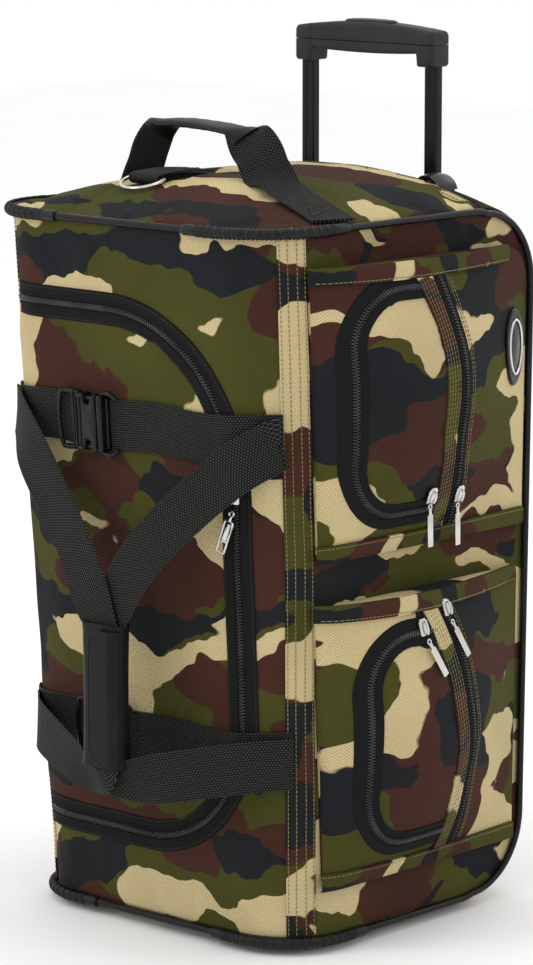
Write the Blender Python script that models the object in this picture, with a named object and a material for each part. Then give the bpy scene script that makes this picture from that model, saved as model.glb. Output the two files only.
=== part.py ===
"""Rolling duffel bag: a soft-sided wheeled bag standing on its end, with its trolley handle part way out.

Metres, +Z up. X runs across the handle, the lid faces -Y, the pockets face +X and the wheels are at +Y.
The origin is the bottom centre of the whole object's box.

The soft body is described by wrap(s, z, off): s is the distance round the body from the middle of the
front, positive towards the pocket side, z is the height, and off is the distance outside the fabric.
"""

import math

import bpy
from mathutils import Matrix, Vector

# ---------------------------------------------------------------- driving dimensions

BOTTOM_Z, TOP_Z = 0.012, 0.548          # lower and upper edge of the front and side panels
HALF_WIDTH = (0.140, 0.147)             # at BOTTOM_Z and at TOP_Z
FRONT_Y = (-0.130, -0.164)              # the lid side leans out towards the top
BACK_Y = 0.1345
CORNER_R = 0.055                        # upright front corners
END_R = 0.057                           # back corners of the side panels
WALL = 0.003                            # fabric with its foam backing
GAP = 0.0005
END_GAP = 0.0016                        # between the side panels' round corners and the strip over them
CROWN = 0.024                           # rise of the padded top end

SEAM_S = 0.148                          # where the front panel meets the side panels
HINGE_S = -0.1245                       # fold line of the lid
ZIP_RIGHT_S, ZIP_TOP_Z, ZIP_BOTTOM_Z = 0.101, 0.483, 0.076
ZIP_TOP_R, ZIP_BOTTOM_R = 0.121, 0.104  # rounded corners of the lid zip
TAPE = 0.013                            # half the width of a zip band
SLIDER_Z = 0.352                        # where the lid's slider rests on its zip
SLIDER = (0.009, 0.014, 0.0047)         # width, length, height
PULLER_LENGTH, PULLER_DROP = 0.032, 0.003

STRAP_W, STRAP_T = 0.039, 0.002         # webbing
STRAP_Z = {"upper": 0.396, "lower": 0.154}
BUCKLE_LEFT_S, BUCKLE_MID_S, BUCKLE_RIGHT_S = -0.066, -0.025, 0.010
BUCKLE_H, BUCKLE_T = 0.046, 0.014
STRAP_HINGE_S = 0.1375                  # where the right-hand straps are sewn in

GRIP_WRAP = (0.008, -0.192, 0.197)      # middle of the carry handles' wrap
GRIP_WRAP_SIZE = (0.040, 0.022, 0.110)

POST_X, POST_Y = 0.064, 0.1175
INNER_TUBE = (0.0130, 0.0080, 0.470)    # width, depth, length
MIDDLE_TUBE = (0.0165, 0.0115, 0.440)
OUTER_TUBE = (0.0200, 0.0150, 0.454)
TUBE_WALL = 0.0010
OUTER_TUBE_Z = 0.094
COLLAR = (0.027, 0.022)                 # width and depth of the collar round each post
COLLAR_Z, COLLAR_TOP = 0.514, 0.562
GRIP_Z, GRIP_H, GRIP_HALF_W = 0.653, 0.030, 0.0715
GRIP_HALF_D, GRIP_SPLIT = 0.0110, 0.017 # half its depth; height of the line between its two shells
RING_DROOP = math.radians(18)           # how far the D-ring hangs below the level
FOOT_RISE = 0.0055                      # the top handle's loop starts this far above the top end

WHEEL_X, WHEEL_Y, WHEEL_R, WHEEL_W = 0.090, 0.118, 0.0280, 0.024
HUB_R, AXLE_R = 0.0185, 0.0030
HOUSING_W = 0.040

# each pocket: edges round the body, lower and upper edge, bulge of its middle, radius of its upper back
# corner
POCKETS = {
    "upper": dict(s=(0.161, 0.395), z=(0.305, 0.521), bulge=0.038, back_r=0.030),
    "lower": dict(s=(0.157, 0.390), z=(0.052, 0.268), bulge=0.042, back_r=0.006),
}
BULGE_REACH = 0.82                      # how much of a half wave the bulge runs through up the pocket
# each pocket door: free edge, middle of its hinge edge, lower and upper edge, and how much nearer to the
# front the hinge edge comes for each metre up
DOORS = {
    "upper": dict(s=(0.183, 0.2539), z=(0.332, 0.505), lean=0.155),
    "lower": dict(s=(0.184, 0.2557), z=(0.078, 0.243), lean=0.164),
}
POCKET_T = 0.002
POCKET_RIM = 0.004                      # how far a pocket's edge stands off the side panel
DOOR_GAP = 0.0045

ARC = 6                                 # steps in a rounded corner
SIDE = 8                                # steps along a straight edge


# ---------------------------------------------------------------- the soft body's shape

def share(z):
    return (z - BOTTOM_Z) / (TOP_Z - BOTTOM_Z)


def half_width(z):
    return HALF_WIDTH[0] + (HALF_WIDTH[1] - HALF_WIDTH[0]) * share(z)


def front_y(z):
    return FRONT_Y[0] + (FRONT_Y[1] - FRONT_Y[0]) * share(z)


FLAT_S = sum(HALF_WIDTH) / 2 - CORNER_R                  # half the flat part of the front
TURN_S = FLAT_S + CORNER_R * math.pi / 2                 # where the flat side begins
END_S = TURN_S + BACK_Y - sum(FRONT_Y) / 2 - CORNER_R    # the back edge of the side


def wrap_frame(s, z):
    """Point on the fabric and its outward normal."""
    sign = math.copysign(1, s)
    s = abs(s)
    flat = half_width(z) - CORNER_R
    middle_y = front_y(z) + CORNER_R
    if s < FLAT_S:
        point, normal = (flat * s / FLAT_S, front_y(z)), (0, -1)
    elif s < TURN_S:
        turn = (s - FLAT_S) / CORNER_R
        normal = (math.sin(turn), -math.cos(turn))
        point = (flat + CORNER_R * normal[0], middle_y + CORNER_R * normal[1])
    else:
        along = (s - TURN_S) / (END_S - TURN_S)
        point, normal = (half_width(z), middle_y + along * (BACK_Y - middle_y)), (1, 0)
    return Vector((sign * point[0], point[1], z)), Vector((sign * normal[0], normal[1], 0))


def wrap(s, z, off=0.0):
    point, normal = wrap_frame(s, z)
    return point + off * normal


def crown(x, y):
    """Rise of the top end: full along the middle, nothing at its sides and at the front edge."""
    across = max(0.0, 1 - abs(x / HALF_WIDTH[1]) ** 2.2)
    forward = min(1.0, max(0.0, (y - FRONT_Y[1]) / 0.110))
    return CROWN * across * math.sin(forward * math.pi / 2)


def pocket_depth(which, s, z):
    """How far the pocket's face stands off the side: most at its middle, nothing at its lower edge."""
    pocket = POCKETS[which]
    along = min(1.0, max(0.0, (s - pocket["s"][0]) / (pocket["s"][1] - pocket["s"][0])))
    up = min(1.0, max(0.0, (z - pocket["z"][0]) / (pocket["z"][1] - pocket["z"][0])))
    rise = math.sin(math.pi * BULGE_REACH * up ** 0.9)
    return POCKET_RIM + pocket["bulge"] * math.sin(math.pi * along ** 0.75) * rise


# ---------------------------------------------------------------- outlines

def eased(t):
    """0 to 1 with short steps at both ends, where the body turns its corners."""
    return (1 - math.cos(math.pi * t)) / 2


def outline(s, z, radii):
    """Closed outline in (s, z), anticlockwise from the lower left, with a radius for each corner."""
    (s0, s1), (z0, z1) = s, z
    corners = ((s0, z0), (s1, z0), (s1, z1), (s0, z1))
    inward = ((1, 1), (-1, 1), (-1, -1), (1, -1))
    points = []
    for i in range(4):
        (cs, cz), (ds, dz), r = corners[i], inward[i], radii[i]
        start = math.pi + i * math.pi / 2
        for k in range(ARC + 1):
            angle = start + k * math.pi / 2 / ARC
            points.append((cs + ds * r + r * math.cos(angle), cz + dz * r + r * math.sin(angle)))
        j = (i + 1) % 4
        (ns, nz), (es, ez), q = corners[j], inward[j], radii[j]
        middle = start + math.pi / 2
        begin = (cs + ds * r + r * math.cos(middle), cz + dz * r + r * math.sin(middle))
        end = (ns + es * q + q * math.cos(middle), nz + ez * q + q * math.sin(middle))
        for k in range(1, SIDE):
            t = eased(k / SIDE)
            points.append((begin[0] + (end[0] - begin[0]) * t, begin[1] + (end[1] - begin[1]) * t))
    return points


def lid_outline(inset):
    """The lid zip's line moved inwards by inset; the fold line keeps its place but for a small gap."""
    left = HINGE_S + math.copysign(0.0022, inset)
    return outline(
        (left, ZIP_RIGHT_S - inset),
        (ZIP_BOTTOM_Z + inset, ZIP_TOP_Z - inset),
        (0.002, ZIP_BOTTOM_R - inset, ZIP_TOP_R - inset, 0.002),
    )


# ---------------------------------------------------------------- mesh helpers

def finish(name, colour, roughness, metallic=0.0):
    material = bpy.data.materials.get(name) or bpy.data.materials.new(name)
    material.use_nodes = True
    shader = material.node_tree.nodes["Principled BSDF"]
    shader.inputs["Base Color"].default_value = (*colour, 1)
    shader.inputs["Roughness"].default_value = roughness
    shader.inputs["Metallic"].default_value = metallic
    return material


def clear_scene():
    for item in list(bpy.data.objects):
        bpy.data.objects.remove(item, do_unlink=True)


def add(name, points, faces, material, pivot=(0, 0, 0), smooth=True):
    """One named object whose origin is at pivot."""
    pivot = Vector(pivot)
    mesh = bpy.data.meshes.new(name)
    mesh.from_pydata([Vector(p) - pivot for p in points], [], faces)
    mesh.materials.append(material)
    mesh.update()
    if smooth:
        mesh.shade_smooth()
        mesh.set_sharp_from_angle(angle=math.radians(40))
    item = bpy.data.objects.new(name, mesh)
    item.location = pivot
    bpy.context.scene.collection.objects.link(item)
    return item


def loft(name, loops, material, closed=False, pivot=(0, 0, 0)):
    """Skin over loops of equal length. A closed loft joins its ends to each other; an open one is capped."""
    count = len(loops[0])
    points = [p for loop in loops for p in loop]
    faces = []
    for i in range(len(loops) if closed else len(loops) - 1):
        a, b = i * count, (i + 1) % len(loops) * count
        faces += [(a + k, a + (k + 1) % count, b + (k + 1) % count, b + k) for k in range(count)]
    if not closed:
        for start, ahead in ((0, False), ((len(loops) - 1) * count, True)):
            middle = len(points)
            points.append(sum((Vector(p) for p in points[start:start + count]), Vector()) / count)
            for k in range(count):
                ring = (start + k, start + (k + 1) % count)
                faces.append((*ring, middle) if ahead else (ring[1], ring[0], middle))
    return oriented(add(name, points, faces, material, pivot))


def oriented(item):
    """Turns the mesh's faces outwards."""
    mesh = item.data
    volume = 0.0
    mesh.calc_loop_triangles()
    for triangle in mesh.loop_triangles:
        a, b, c = (mesh.vertices[i].co for i in triangle.vertices)
        volume += a.dot(b.cross(c))
    if volume < 0:
        mesh.flip_normals()
    return item


def plate(name, edge, surface, thickness, material, pivot=(0, 0, 0), rings=(0.4, 0.75, 0.9, 1.0)):
    """Curved sheet inside an outline, laid on surface(s, z, off) with its outer face at off 0."""
    cs = (min(p[0] for p in edge) + max(p[0] for p in edge)) / 2
    cz = (min(p[1] for p in edge) + max(p[1] for p in edge)) / 2

    def ring(k, off):
        return [surface(cs + (s - cs) * k, cz + (z - cz) * k, off) for s, z in edge]

    loops = [ring(k, 0.0) for k in rings] + [ring(k, -thickness) for k in reversed(rings)]
    return loft(name, loops, material, pivot=pivot)


def frame_plate(name, outer, inner, surface, thickness, material, steps=3):
    """Curved sheet between two outlines."""
    def ring(k, off):
        return [
            surface(a[0] + (b[0] - a[0]) * k, a[1] + (b[1] - a[1]) * k, off)
            for a, b in zip(inner, outer)
        ]

    shares = [i / steps for i in range(steps + 1)]
    loops = [ring(k, 0.0) for k in shares] + [ring(k, -thickness) for k in reversed(shares)]
    return loft(name, loops, material, closed=True)


def box(name, low, high, material, pivot=None, bevel=0.0):
    """Box between two corners."""
    (x0, y0, z0), (x1, y1, z1) = low, high
    points = [(x, y, z) for z in (z0, z1) for x, y in ((x0, y0), (x1, y0), (x1, y1), (x0, y1))]
    faces = [(3, 2, 1, 0), (4, 5, 6, 7), (0, 1, 5, 4), (1, 2, 6, 5), (2, 3, 7, 6), (3, 0, 4, 7)]
    item = add(name, points, faces, material, pivot or (0, 0, 0), smooth=False)
    if bevel:
        edge = item.modifiers.new("edges", "BEVEL")
        edge.width, edge.segments, edge.limit_method = bevel, 2, "NONE"
    return item


def cutter(name, low, high):
    item = box("cut_" + name, low, high, finish("cutter", (1, 0, 0), 1.0))
    item.hide_render = True
    item.display_type = "WIRE"
    return item


def cut(item, *tools):
    for tool in tools:
        boolean = item.modifiers.new(tool.name, "BOOLEAN")
        boolean.operation, boolean.object = "DIFFERENCE", tool
    return item


def join(item, *others):
    for other in others:
        boolean = item.modifiers.new(other.name, "BOOLEAN")
        boolean.operation, boolean.object = "UNION", other
        other.hide_render = True
        other.display_type = "WIRE"
    return item


def turned(name, profile, centre, material, pivot=None, steps=24):
    """Solid of revolution about an X axis through centre; profile is (x, r) round its closed section."""
    loops = []
    for k in range(steps):
        angle = 2 * math.pi * k / steps
        out = Vector((0, math.cos(angle), math.sin(angle)))
        loops.append([Vector(centre) + Vector((x, 0, 0)) + r * out for x, r in profile])
    return loft(name, loops, material, closed=True, pivot=pivot or centre)


def smooth_path(points, steps=4):
    """Catmull-Rom curve through the points."""
    points = [Vector(p) for p in points]
    ends = [2 * points[0] - points[1]] + points + [2 * points[-1] - points[-2]]
    path = []
    for i in range(1, len(ends) - 2):
        a, b, c, d = ends[i - 1:i + 3]
        for k in range(steps):
            t = k / steps
            path.append(0.5 * (2 * b + (c - a) * t + (2 * a - 5 * b + 4 * c - d) * t * t
                               + (3 * b - a - 3 * c + d) * t ** 3))
    return path + [points[-1]]


def ribbon(name, path, out, width, material, thickness=STRAP_T, pivot=(0, 0, 0)):
    """Webbing along a path; out(i) is its face's direction at point i, width(i) its width there."""
    loops = []
    for i, point in enumerate(path):
        along = (path[min(i + 1, len(path) - 1)] - path[max(i - 1, 0)]).normalized()
        across = along.cross(out(i)).normalized()
        face = across.cross(along).normalized()
        half = across * width(i) / 2
        loops.append([point - half, point + half, point + half + face * thickness,
                      point - half + face * thickness])
    return loft(name, loops, material, pivot=pivot)


def wrapped_band(name, s, z, off, material, steps=8, pivot=(0, 0, 0)):
    """Flat band that lies round the body."""
    loops = []
    for k in range(steps + 1):
        at = s[0] + (s[1] - s[0]) * k / steps
        loops.append([wrap(at, z[0], off[0]), wrap(at, z[1], off[0]),
                      wrap(at, z[1], off[1]), wrap(at, z[0], off[1])])
    return loft(name, loops, material, pivot=pivot)


def tube(name, centre, size, z, wall, material):
    """Rectangular tube, open at both ends."""
    (cx, cy), (w, d) = centre, (size[0] / 2, size[1] / 2)

    def ring(grow, height):
        return [(cx + sx * (w + grow), cy + sy * (d + grow), height)
                for sx, sy in ((-1, -1), (1, -1), (1, 1), (-1, 1))]

    loops = [ring(0, z[0]), ring(0, z[1]), ring(-wall, z[1]), ring(-wall, z[0])]
    return loft(name, loops, material, closed=True, pivot=(cx, cy, z[0]))


# ---------------------------------------------------------------- materials

def materials():
    return dict(
        camo=finish("camo_fabric", (0.10, 0.11, 0.04), 0.85),
        dark=finish("zip_tape", (0.02, 0.02, 0.02), 0.8),
        webbing=finish("webbing", (0.015, 0.015, 0.015), 0.75),
        rubber=finish("rubber_trim", (0.02, 0.02, 0.02), 0.5),
        plastic=finish("black_plastic", (0.02, 0.02, 0.022), 0.35),
        leather=finish("black_leatherette", (0.02, 0.02, 0.02), 0.45),
        board=finish("grey_board", (0.12, 0.12, 0.12), 0.6),
        steel=finish("chromed_steel", (0.8, 0.8, 0.8), 0.15, 1.0),
        tube=finish("black_painted_tube", (0.02, 0.02, 0.02), 0.3, 0.6),
        tyre=finish("wheel_tyre", (0.03, 0.03, 0.03), 0.7),
    )


# ---------------------------------------------------------------- body

def front_and_sides(m):
    sheet = (BOTTOM_Z, TOP_Z)
    square = (0.001,) * 4
    frame_plate("front_panel", outline((-SEAM_S, SEAM_S), sheet, square), lid_outline(-TAPE - GAP),
                wrap, WALL, m["camo"])
    for side, sign in (("right", 1), ("left", -1)):
        edge = outline((SEAM_S + GAP, END_S), sheet, (0.001, END_R, END_R, 0.001))
        plate("side_panel_" + side, edge, lambda s, z, off: wrap(sign * s, z, off), WALL, m["camo"],
              rings=(0.4, 0.79, 0.9, 1.0))


def end_outline(inset):
    """Plan of the ends from the back arc forwards: straight sides and the two upright corners."""
    start = END_S - END_R
    arc = [TURN_S + (FLAT_S - TURN_S) * k / ARC for k in range(ARC + 1)]
    half = [start] + arc + [FLAT_S / 2]
    return [(s, inset) for s in half + [0.0] + [-s for s in reversed(half)]]


def end_panel(name, z, low, high, material):
    """Flat or crowned end: a row of points round its edge, and rows drawn in towards its middle."""
    edge = [wrap(s, z, -0.001) for s, _ in end_outline(0)]
    back_y = BACK_Y - END_R
    edge = [Vector((p.x, min(p.y, back_y), p.z)) for p in edge]
    middle = Vector((0, (back_y + front_y(z)) / 2, 0))

    def row(k, height):
        points = [middle + (Vector((p.x, p.y, 0)) - middle) * k for p in edge]
        return [Vector((p.x, p.y, height(p.x, p.y))) for p in points]

    shares = (0.35, 0.7, 0.88, 1.0)
    loops = [row(k, high) for k in shares] + [row(k, low) for k in reversed(shares)]
    return loft(name, loops, material)


def ends_and_back(m):
    end_panel("top_end_panel", TOP_Z, lambda x, y: TOP_Z + GAP + crown(x, y),
              lambda x, y: TOP_Z + GAP + WALL + crown(x, y), m["camo"])
    bottom = end_panel("bottom_end_panel", BOTTOM_Z, lambda x, y: BOTTOM_Z - GAP - WALL,
                       lambda x, y: BOTTOM_Z - GAP, m["camo"])
    centre_y = BACK_Y - END_R
    rows = []
    for k in range(ARC + 1):
        turn = math.pi / 2 * k / ARC
        rows.append((turn, TOP_Z - END_R, 1 - k / ARC))
    for k in range(ARC + 1):
        turn = math.pi / 2 * (1 + k / ARC)
        rows.append((turn, BOTTOM_Z + END_R, 0.0))
    loops = []
    columns = [-1, -0.75, -0.4, 0, 0.4, 0.75, 1]
    for turn, centre_z, rise in rows:
        low, high = [], []
        for c in columns:
            z = centre_z + END_R * math.cos(turn)
            x = c * (half_width(z) - 0.001)
            lift = crown(x, centre_y) * rise
            for line, r in ((low, END_R + END_GAP), (high, END_R + END_GAP + WALL)):
                line.append((x, centre_y + GAP + (r + lift) * math.sin(turn),
                             centre_z + (r + lift) * math.cos(turn)))
        loops.append(low + high[::-1])
    back = loft("back_panel", loops, m["camo"])
    for sign in (-1, 1):
        x, w, d = sign * POST_X, COLLAR[0] / 2 + 0.001, COLLAR[1] / 2 + 0.001
        cut(back, cutter(f"collar_{sign}", (x - w, POST_Y - d, COLLAR_Z), (x + w, POST_Y + d, TOP_Z + 0.040)))
        x = sign * WHEEL_X
        well = cutter(f"well_{sign}", (x - HOUSING_W / 2 - 0.001, 0.074, -0.01),
                      (x + HOUSING_W / 2 + 0.001, BACK_Y + 0.02, 0.080))
        cut(back, well)
        cut(bottom, well)


def trim(m):
    """The piping runs once round the bag, along the seam between the wrapped panel and the end strip."""
    off, centre_y = 0.0045, BACK_Y - END_R

    def side_run(sign):
        run = [wrap(sign * s, TOP_Z + 0.002, off) for s in (TURN_S, TURN_S + 0.05)]
        for centre_z, first in ((TOP_Z - END_R, 0), (BOTTOM_Z + END_R, 1)):
            for k in range(ARC + 1):
                turn = math.pi / 2 * (first + k / ARC)
                z = centre_z + END_R * math.cos(turn)
                run.append(Vector((sign * (half_width(z) + off), centre_y + END_R * math.sin(turn), z)))
        run += [wrap(sign * s, BOTTOM_Z - 0.002, off) for s in (TURN_S + 0.05, TURN_S)]
        return run

    def front_run(z):
        arc = [FLAT_S + (TURN_S - FLAT_S) * k / ARC for k in range(ARC)]
        return [wrap(s, z, off) for s in [-s for s in reversed(arc)] + [0.0] + arc]

    path = front_run(TOP_Z + 0.002) + side_run(1)
    path += list(reversed(front_run(BOTTOM_Z - 0.002))) + list(reversed(side_run(-1)))
    tube_on_path("piping", path, 0.003, m["rubber"])
    for end, z in (("top", TOP_Z + 0.002), ("bottom", BOTTOM_Z - 0.002)):
        for side, sign in (("right", 1), ("left", -1)):
            corner_guard(f"corner_guard_{end}_{side}", sign, z, off, m["rubber"])


def tube_on_path(name, path, radius, material, sides=6):
    """Closed round tube."""
    loops = []
    for i, point in enumerate(path):
        along = (path[(i + 1) % len(path)] - path[i - 1]).normalized()
        first = along.orthogonal().normalized()
        if loops:
            first = (last - along * last.dot(along)).normalized()
        last = first
        second = along.cross(first)
        loops.append([point + radius * (math.cos(a) * first + math.sin(a) * second)
                      for a in (2 * math.pi * k / sides for k in range(sides))])
    return loft(name, loops, material, closed=True)


def corner_guard(name, sign, z, off, material):
    """Sleeve over the outer half of the piping round one front corner."""
    inner_r, outer_r, steps, around = 0.0040, 0.0062, 9, 5
    loops = []
    for k in range(steps + 1):
        s = sign * (FLAT_S - 0.025 + (TURN_S - FLAT_S + 0.050) * k / steps)
        point, normal = wrap_frame(s, z)
        centre = point + normal * off
        arc = [math.radians(-75 + 150 * i / around) for i in range(around + 1)]
        ring = [centre + outer_r * (math.cos(a) * normal + math.sin(a) * Vector((0, 0, 1))) for a in arc]
        ring += [centre + inner_r * (math.cos(a) * normal + math.sin(a) * Vector((0, 0, 1)))
                 for a in reversed(arc)]
        loops.append(ring)
    return loft(name, loops, material)


def frame_inside(m):
    box("backboard", (-0.128, 0.1015, 0.082), (0.128, 0.1040, 0.520), m["board"])
    box("stand_bar", (-0.095, -0.105, 0.0), (0.095, -0.085, BOTTOM_Z - GAP - WALL - GAP), m["plastic"],
        bevel=0.0015)


# ---------------------------------------------------------------- wheels

def wheels(m):
    for side, sign in (("right", 1), ("left", -1)):
        x = sign * WHEEL_X
        centre = (x, WHEEL_Y, WHEEL_R)
        half = WHEEL_W / 2
        turned("tyre_" + side, [(-half, HUB_R + 0.0004), (-half, WHEEL_R - 0.004), (-half + 0.004, WHEEL_R),
                                (half - 0.004, WHEEL_R), (half, WHEEL_R - 0.004), (half, HUB_R + 0.0004)],
               centre, m["tyre"], steps=32)
        turned("wheel_hub_" + side, [(-half, AXLE_R + 0.0004), (-half, HUB_R), (half, HUB_R),
                                     (half, AXLE_R + 0.0004)], centre, m["plastic"], steps=32)
        reach = HOUSING_W / 2 - 0.001
        loops = [round_ring(x + end, AXLE_R) for end in (-reach, reach)]
        loft("axle_" + side, loops, m["steel"], pivot=centre)
        housing(side, x, m)


def housing(side, x, m):
    """Moulded block let into the lower back corner, open below and behind round the wheel."""
    half = HOUSING_W / 2
    centre_y, centre_z, r = BACK_Y - END_R, BOTTOM_Z + END_R, END_R + WALL + 0.0012
    section = [(0.076, 0.078), (0.076, centre_z - r)]
    for k in range(ARC + 1):
        turn = math.pi / 2 * k / ARC
        section.append((centre_y + 0.0006 + r * math.sin(turn), centre_z - r * math.cos(turn)))
    section.append((section[-1][0], 0.078))
    loops = [[(x + end, y, z) for y, z in section] for end in (-half, half)]
    block = loft("wheel_housing_" + side, loops, m["plastic"])
    well = 0.0015
    slot = cutter("slot_" + side, (x - WHEEL_W / 2 - well, WHEEL_Y - WHEEL_R - 0.002, -0.02),
                  (x + WHEEL_W / 2 + well, BACK_Y + 0.03, WHEEL_R * 2 + 0.003))
    loops = []
    for end in (-reach_past(half), reach_past(half)):
        loops.append(round_ring(x + end, AXLE_R + 0.0004))
    bore = loft("cut_bore_" + side, loops, finish("cutter", (1, 0, 0), 1.0))
    bore.hide_render = True
    bore.display_type = "WIRE"
    cut(block, slot, bore)


def round_ring(x, r, steps=16):
    """Ring of points round the wheels' axis."""
    turns = [2 * math.pi * k / steps for k in range(steps)]
    return [(x, WHEEL_Y + r * math.cos(a), WHEEL_R + r * math.sin(a)) for a in turns]


def reach_past(half):
    """A cutter runs a little past the wall that it cuts."""
    return half + 0.005


# ---------------------------------------------------------------- trolley handle

def trolley(m):
    top_of_outer = OUTER_TUBE_Z + OUTER_TUBE[2]
    for side, sign in (("right", 1), ("left", -1)):
        centre = (sign * POST_X, POST_Y)
        tube("outer_tube_" + side, centre, OUTER_TUBE, (OUTER_TUBE_Z, top_of_outer), TUBE_WALL, m["tube"])
        top_of_middle = top_of_outer - 0.004
        tube("middle_tube_" + side, centre, MIDDLE_TUBE, (top_of_middle - MIDDLE_TUBE[2], top_of_middle),
             TUBE_WALL, m["tube"])
        tube("inner_tube_" + side, centre, INNER_TUBE, (GRIP_Z + 0.012 - INNER_TUBE[2], GRIP_Z + 0.012),
             TUBE_WALL, m["tube"])
    bracket = box("base_bracket", (-0.085, POST_Y - 0.0105, OUTER_TUBE_Z - 0.014),
                  (0.085, POST_Y + 0.0105, OUTER_TUBE_Z + 0.016), m["plastic"])
    collars = box("handle_collars", (-0.085, POST_Y - COLLAR[1] / 2, COLLAR_Z - 0.014),
                  (0.085, POST_Y + COLLAR[1] / 2, COLLAR_Z), m["plastic"])
    for sign in (-1, 1):
        x, w, d = sign * POST_X, OUTER_TUBE[0] / 2 + GAP, OUTER_TUBE[1] / 2 + GAP
        cut(bracket, cutter(f"bracket_{sign}", (x - w, POST_Y - d, OUTER_TUBE_Z - GAP),
                            (x + w, POST_Y + d, OUTER_TUBE_Z + 0.05)))
        collar_w, collar_d = COLLAR[0] / 2, COLLAR[1] / 2
        sleeve = box(f"cut_collar_{side_name(sign)}", (x - collar_w, POST_Y - collar_d, COLLAR_Z - 0.005),
                     (x + collar_w, POST_Y + collar_d, COLLAR_TOP), m["plastic"])
        join(collars, sleeve)
        cut(collars, cutter(f"collar_low_{sign}", (x - w, POST_Y - d, COLLAR_Z - 0.05),
                            (x + w, POST_Y + d, top_of_outer + GAP)))
        w, d = MIDDLE_TUBE[0] / 2 + GAP, MIDDLE_TUBE[1] / 2 + GAP
        cut(collars, cutter(f"collar_high_{sign}", (x - w, POST_Y - d, top_of_outer - 0.01),
                            (x + w, POST_Y + d, COLLAR_TOP + 0.01)))
    grip(m)


def side_name(sign):
    return "right" if sign > 0 else "left"


def grip(m):
    """Handle grip: a lower shell that takes the tubes, an upper shell over it, and the button between."""
    split = GRIP_Z + GRIP_SPLIT
    front, back = POST_Y - GRIP_HALF_D, POST_Y + GRIP_HALF_D
    low = box("grip_lower", (-GRIP_HALF_W, front, GRIP_Z), (GRIP_HALF_W, back, split), m["plastic"],
              bevel=0.002)
    high = box("grip_upper", (-GRIP_HALF_W, front, split + GAP), (GRIP_HALF_W, back, GRIP_Z + GRIP_H),
               m["plastic"], bevel=0.003)
    for sign in (-1, 1):
        x, w, d = sign * POST_X, INNER_TUBE[0] / 2 + GAP, INNER_TUBE[1] / 2 + GAP
        cut(low, cutter(f"socket_{sign}", (x - w, POST_Y - d, GRIP_Z - 0.01),
                        (x + w, POST_Y + d, GRIP_Z + 0.05)))
    hand_x = POST_X - 0.015
    cut(low, cutter("hand", (-hand_x, front - 0.02, GRIP_Z - 0.02), (hand_x, back + 0.02, GRIP_Z + 0.010)))
    half_x, half_y = 0.020, 0.0080
    well = cutter("button_well", (-half_x - GAP, POST_Y - half_y - GAP, split - 0.01),
                  (half_x + GAP, POST_Y + half_y + GAP, GRIP_Z + 0.05))
    cut(high, well)
    top = GRIP_Z + GRIP_H
    box("push_button", (-half_x, POST_Y - half_y, split + 0.0055), (half_x, POST_Y + half_y, top + 0.0035),
        m["plastic"], pivot=(0, POST_Y, split + 0.0055), bevel=0.0015)
    tube("button_spring", (0, POST_Y), (0.007, 0.007), (split + 0.0004, split + 0.0050), 0.001, m["steel"])


# ---------------------------------------------------------------- lid, straps and buckles

def u_line(inset):
    """The lid zip's line without its fold side, moved inwards by inset."""
    edge = lid_outline(inset)
    first = ARC                                # leave the lower left corner downwards
    last = len(edge) - SIDE - ARC              # stop before the upper left corner
    fold = HINGE_S + 0.0035
    return [(fold, edge[first][1])] + edge[first + 2:last - 1] + [(fold, edge[last][1])]


def lid(m):
    pivot = wrap(HINGE_S, (ZIP_TOP_Z + ZIP_BOTTOM_Z) / 2, 0.0015)
    plate("lid_panel", lid_outline(TAPE + GAP), wrap, WALL, m["camo"], pivot=pivot)
    for name, near, far in (("lid_zip_outer", -0.0004, -TAPE), ("lid_zip_inner", 0.0004, TAPE)):
        loops = []
        for a, b in zip(u_line(near), u_line(far)):
            loops.append([wrap(*a, 0), wrap(*b, 0), wrap(*b, -0.002), wrap(*a, -0.002)])
        loft(name, loops, m["dark"], pivot=pivot if near > 0 else (0, 0, 0))
    z, half_w, half_l = SLIDER_Z, SLIDER[0] / 2, SLIDER[1] / 2
    wrapped_band("lid_zip_slider", (ZIP_RIGHT_S - half_w, ZIP_RIGHT_S + half_w), (z - half_l, z + half_l),
                 (0.0008, 0.0008 + SLIDER[2]), m["steel"], steps=1, pivot=wrap(ZIP_RIGHT_S, z, 0.003))
    puller("lid_zip_puller", wrap(ZIP_RIGHT_S, z - half_l - PULLER_DROP, 0.0032), Vector((-0.35, 0, -1)),
           wrap_frame(ZIP_RIGHT_S, z)[1], m)


def puller(name, top, down, out, m):
    """Flat pull tab that hangs from top; its hinge is its upper end."""
    down = (down - out * down.dot(out)).normalized()
    across = down.cross(out).normalized()
    path = [top + down * PULLER_LENGTH * k / 4 for k in range(5)]
    widths = (0.004, 0.005, 0.006, 0.0065, 0.0065)
    loops = []
    for point, width in zip(path, widths):
        half = across * width / 2
        loops.append([point - half, point + half, point + half + out * 0.0015, point - half + out * 0.0015])
    return loft(name, loops, m["steel"], pivot=top)


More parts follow.
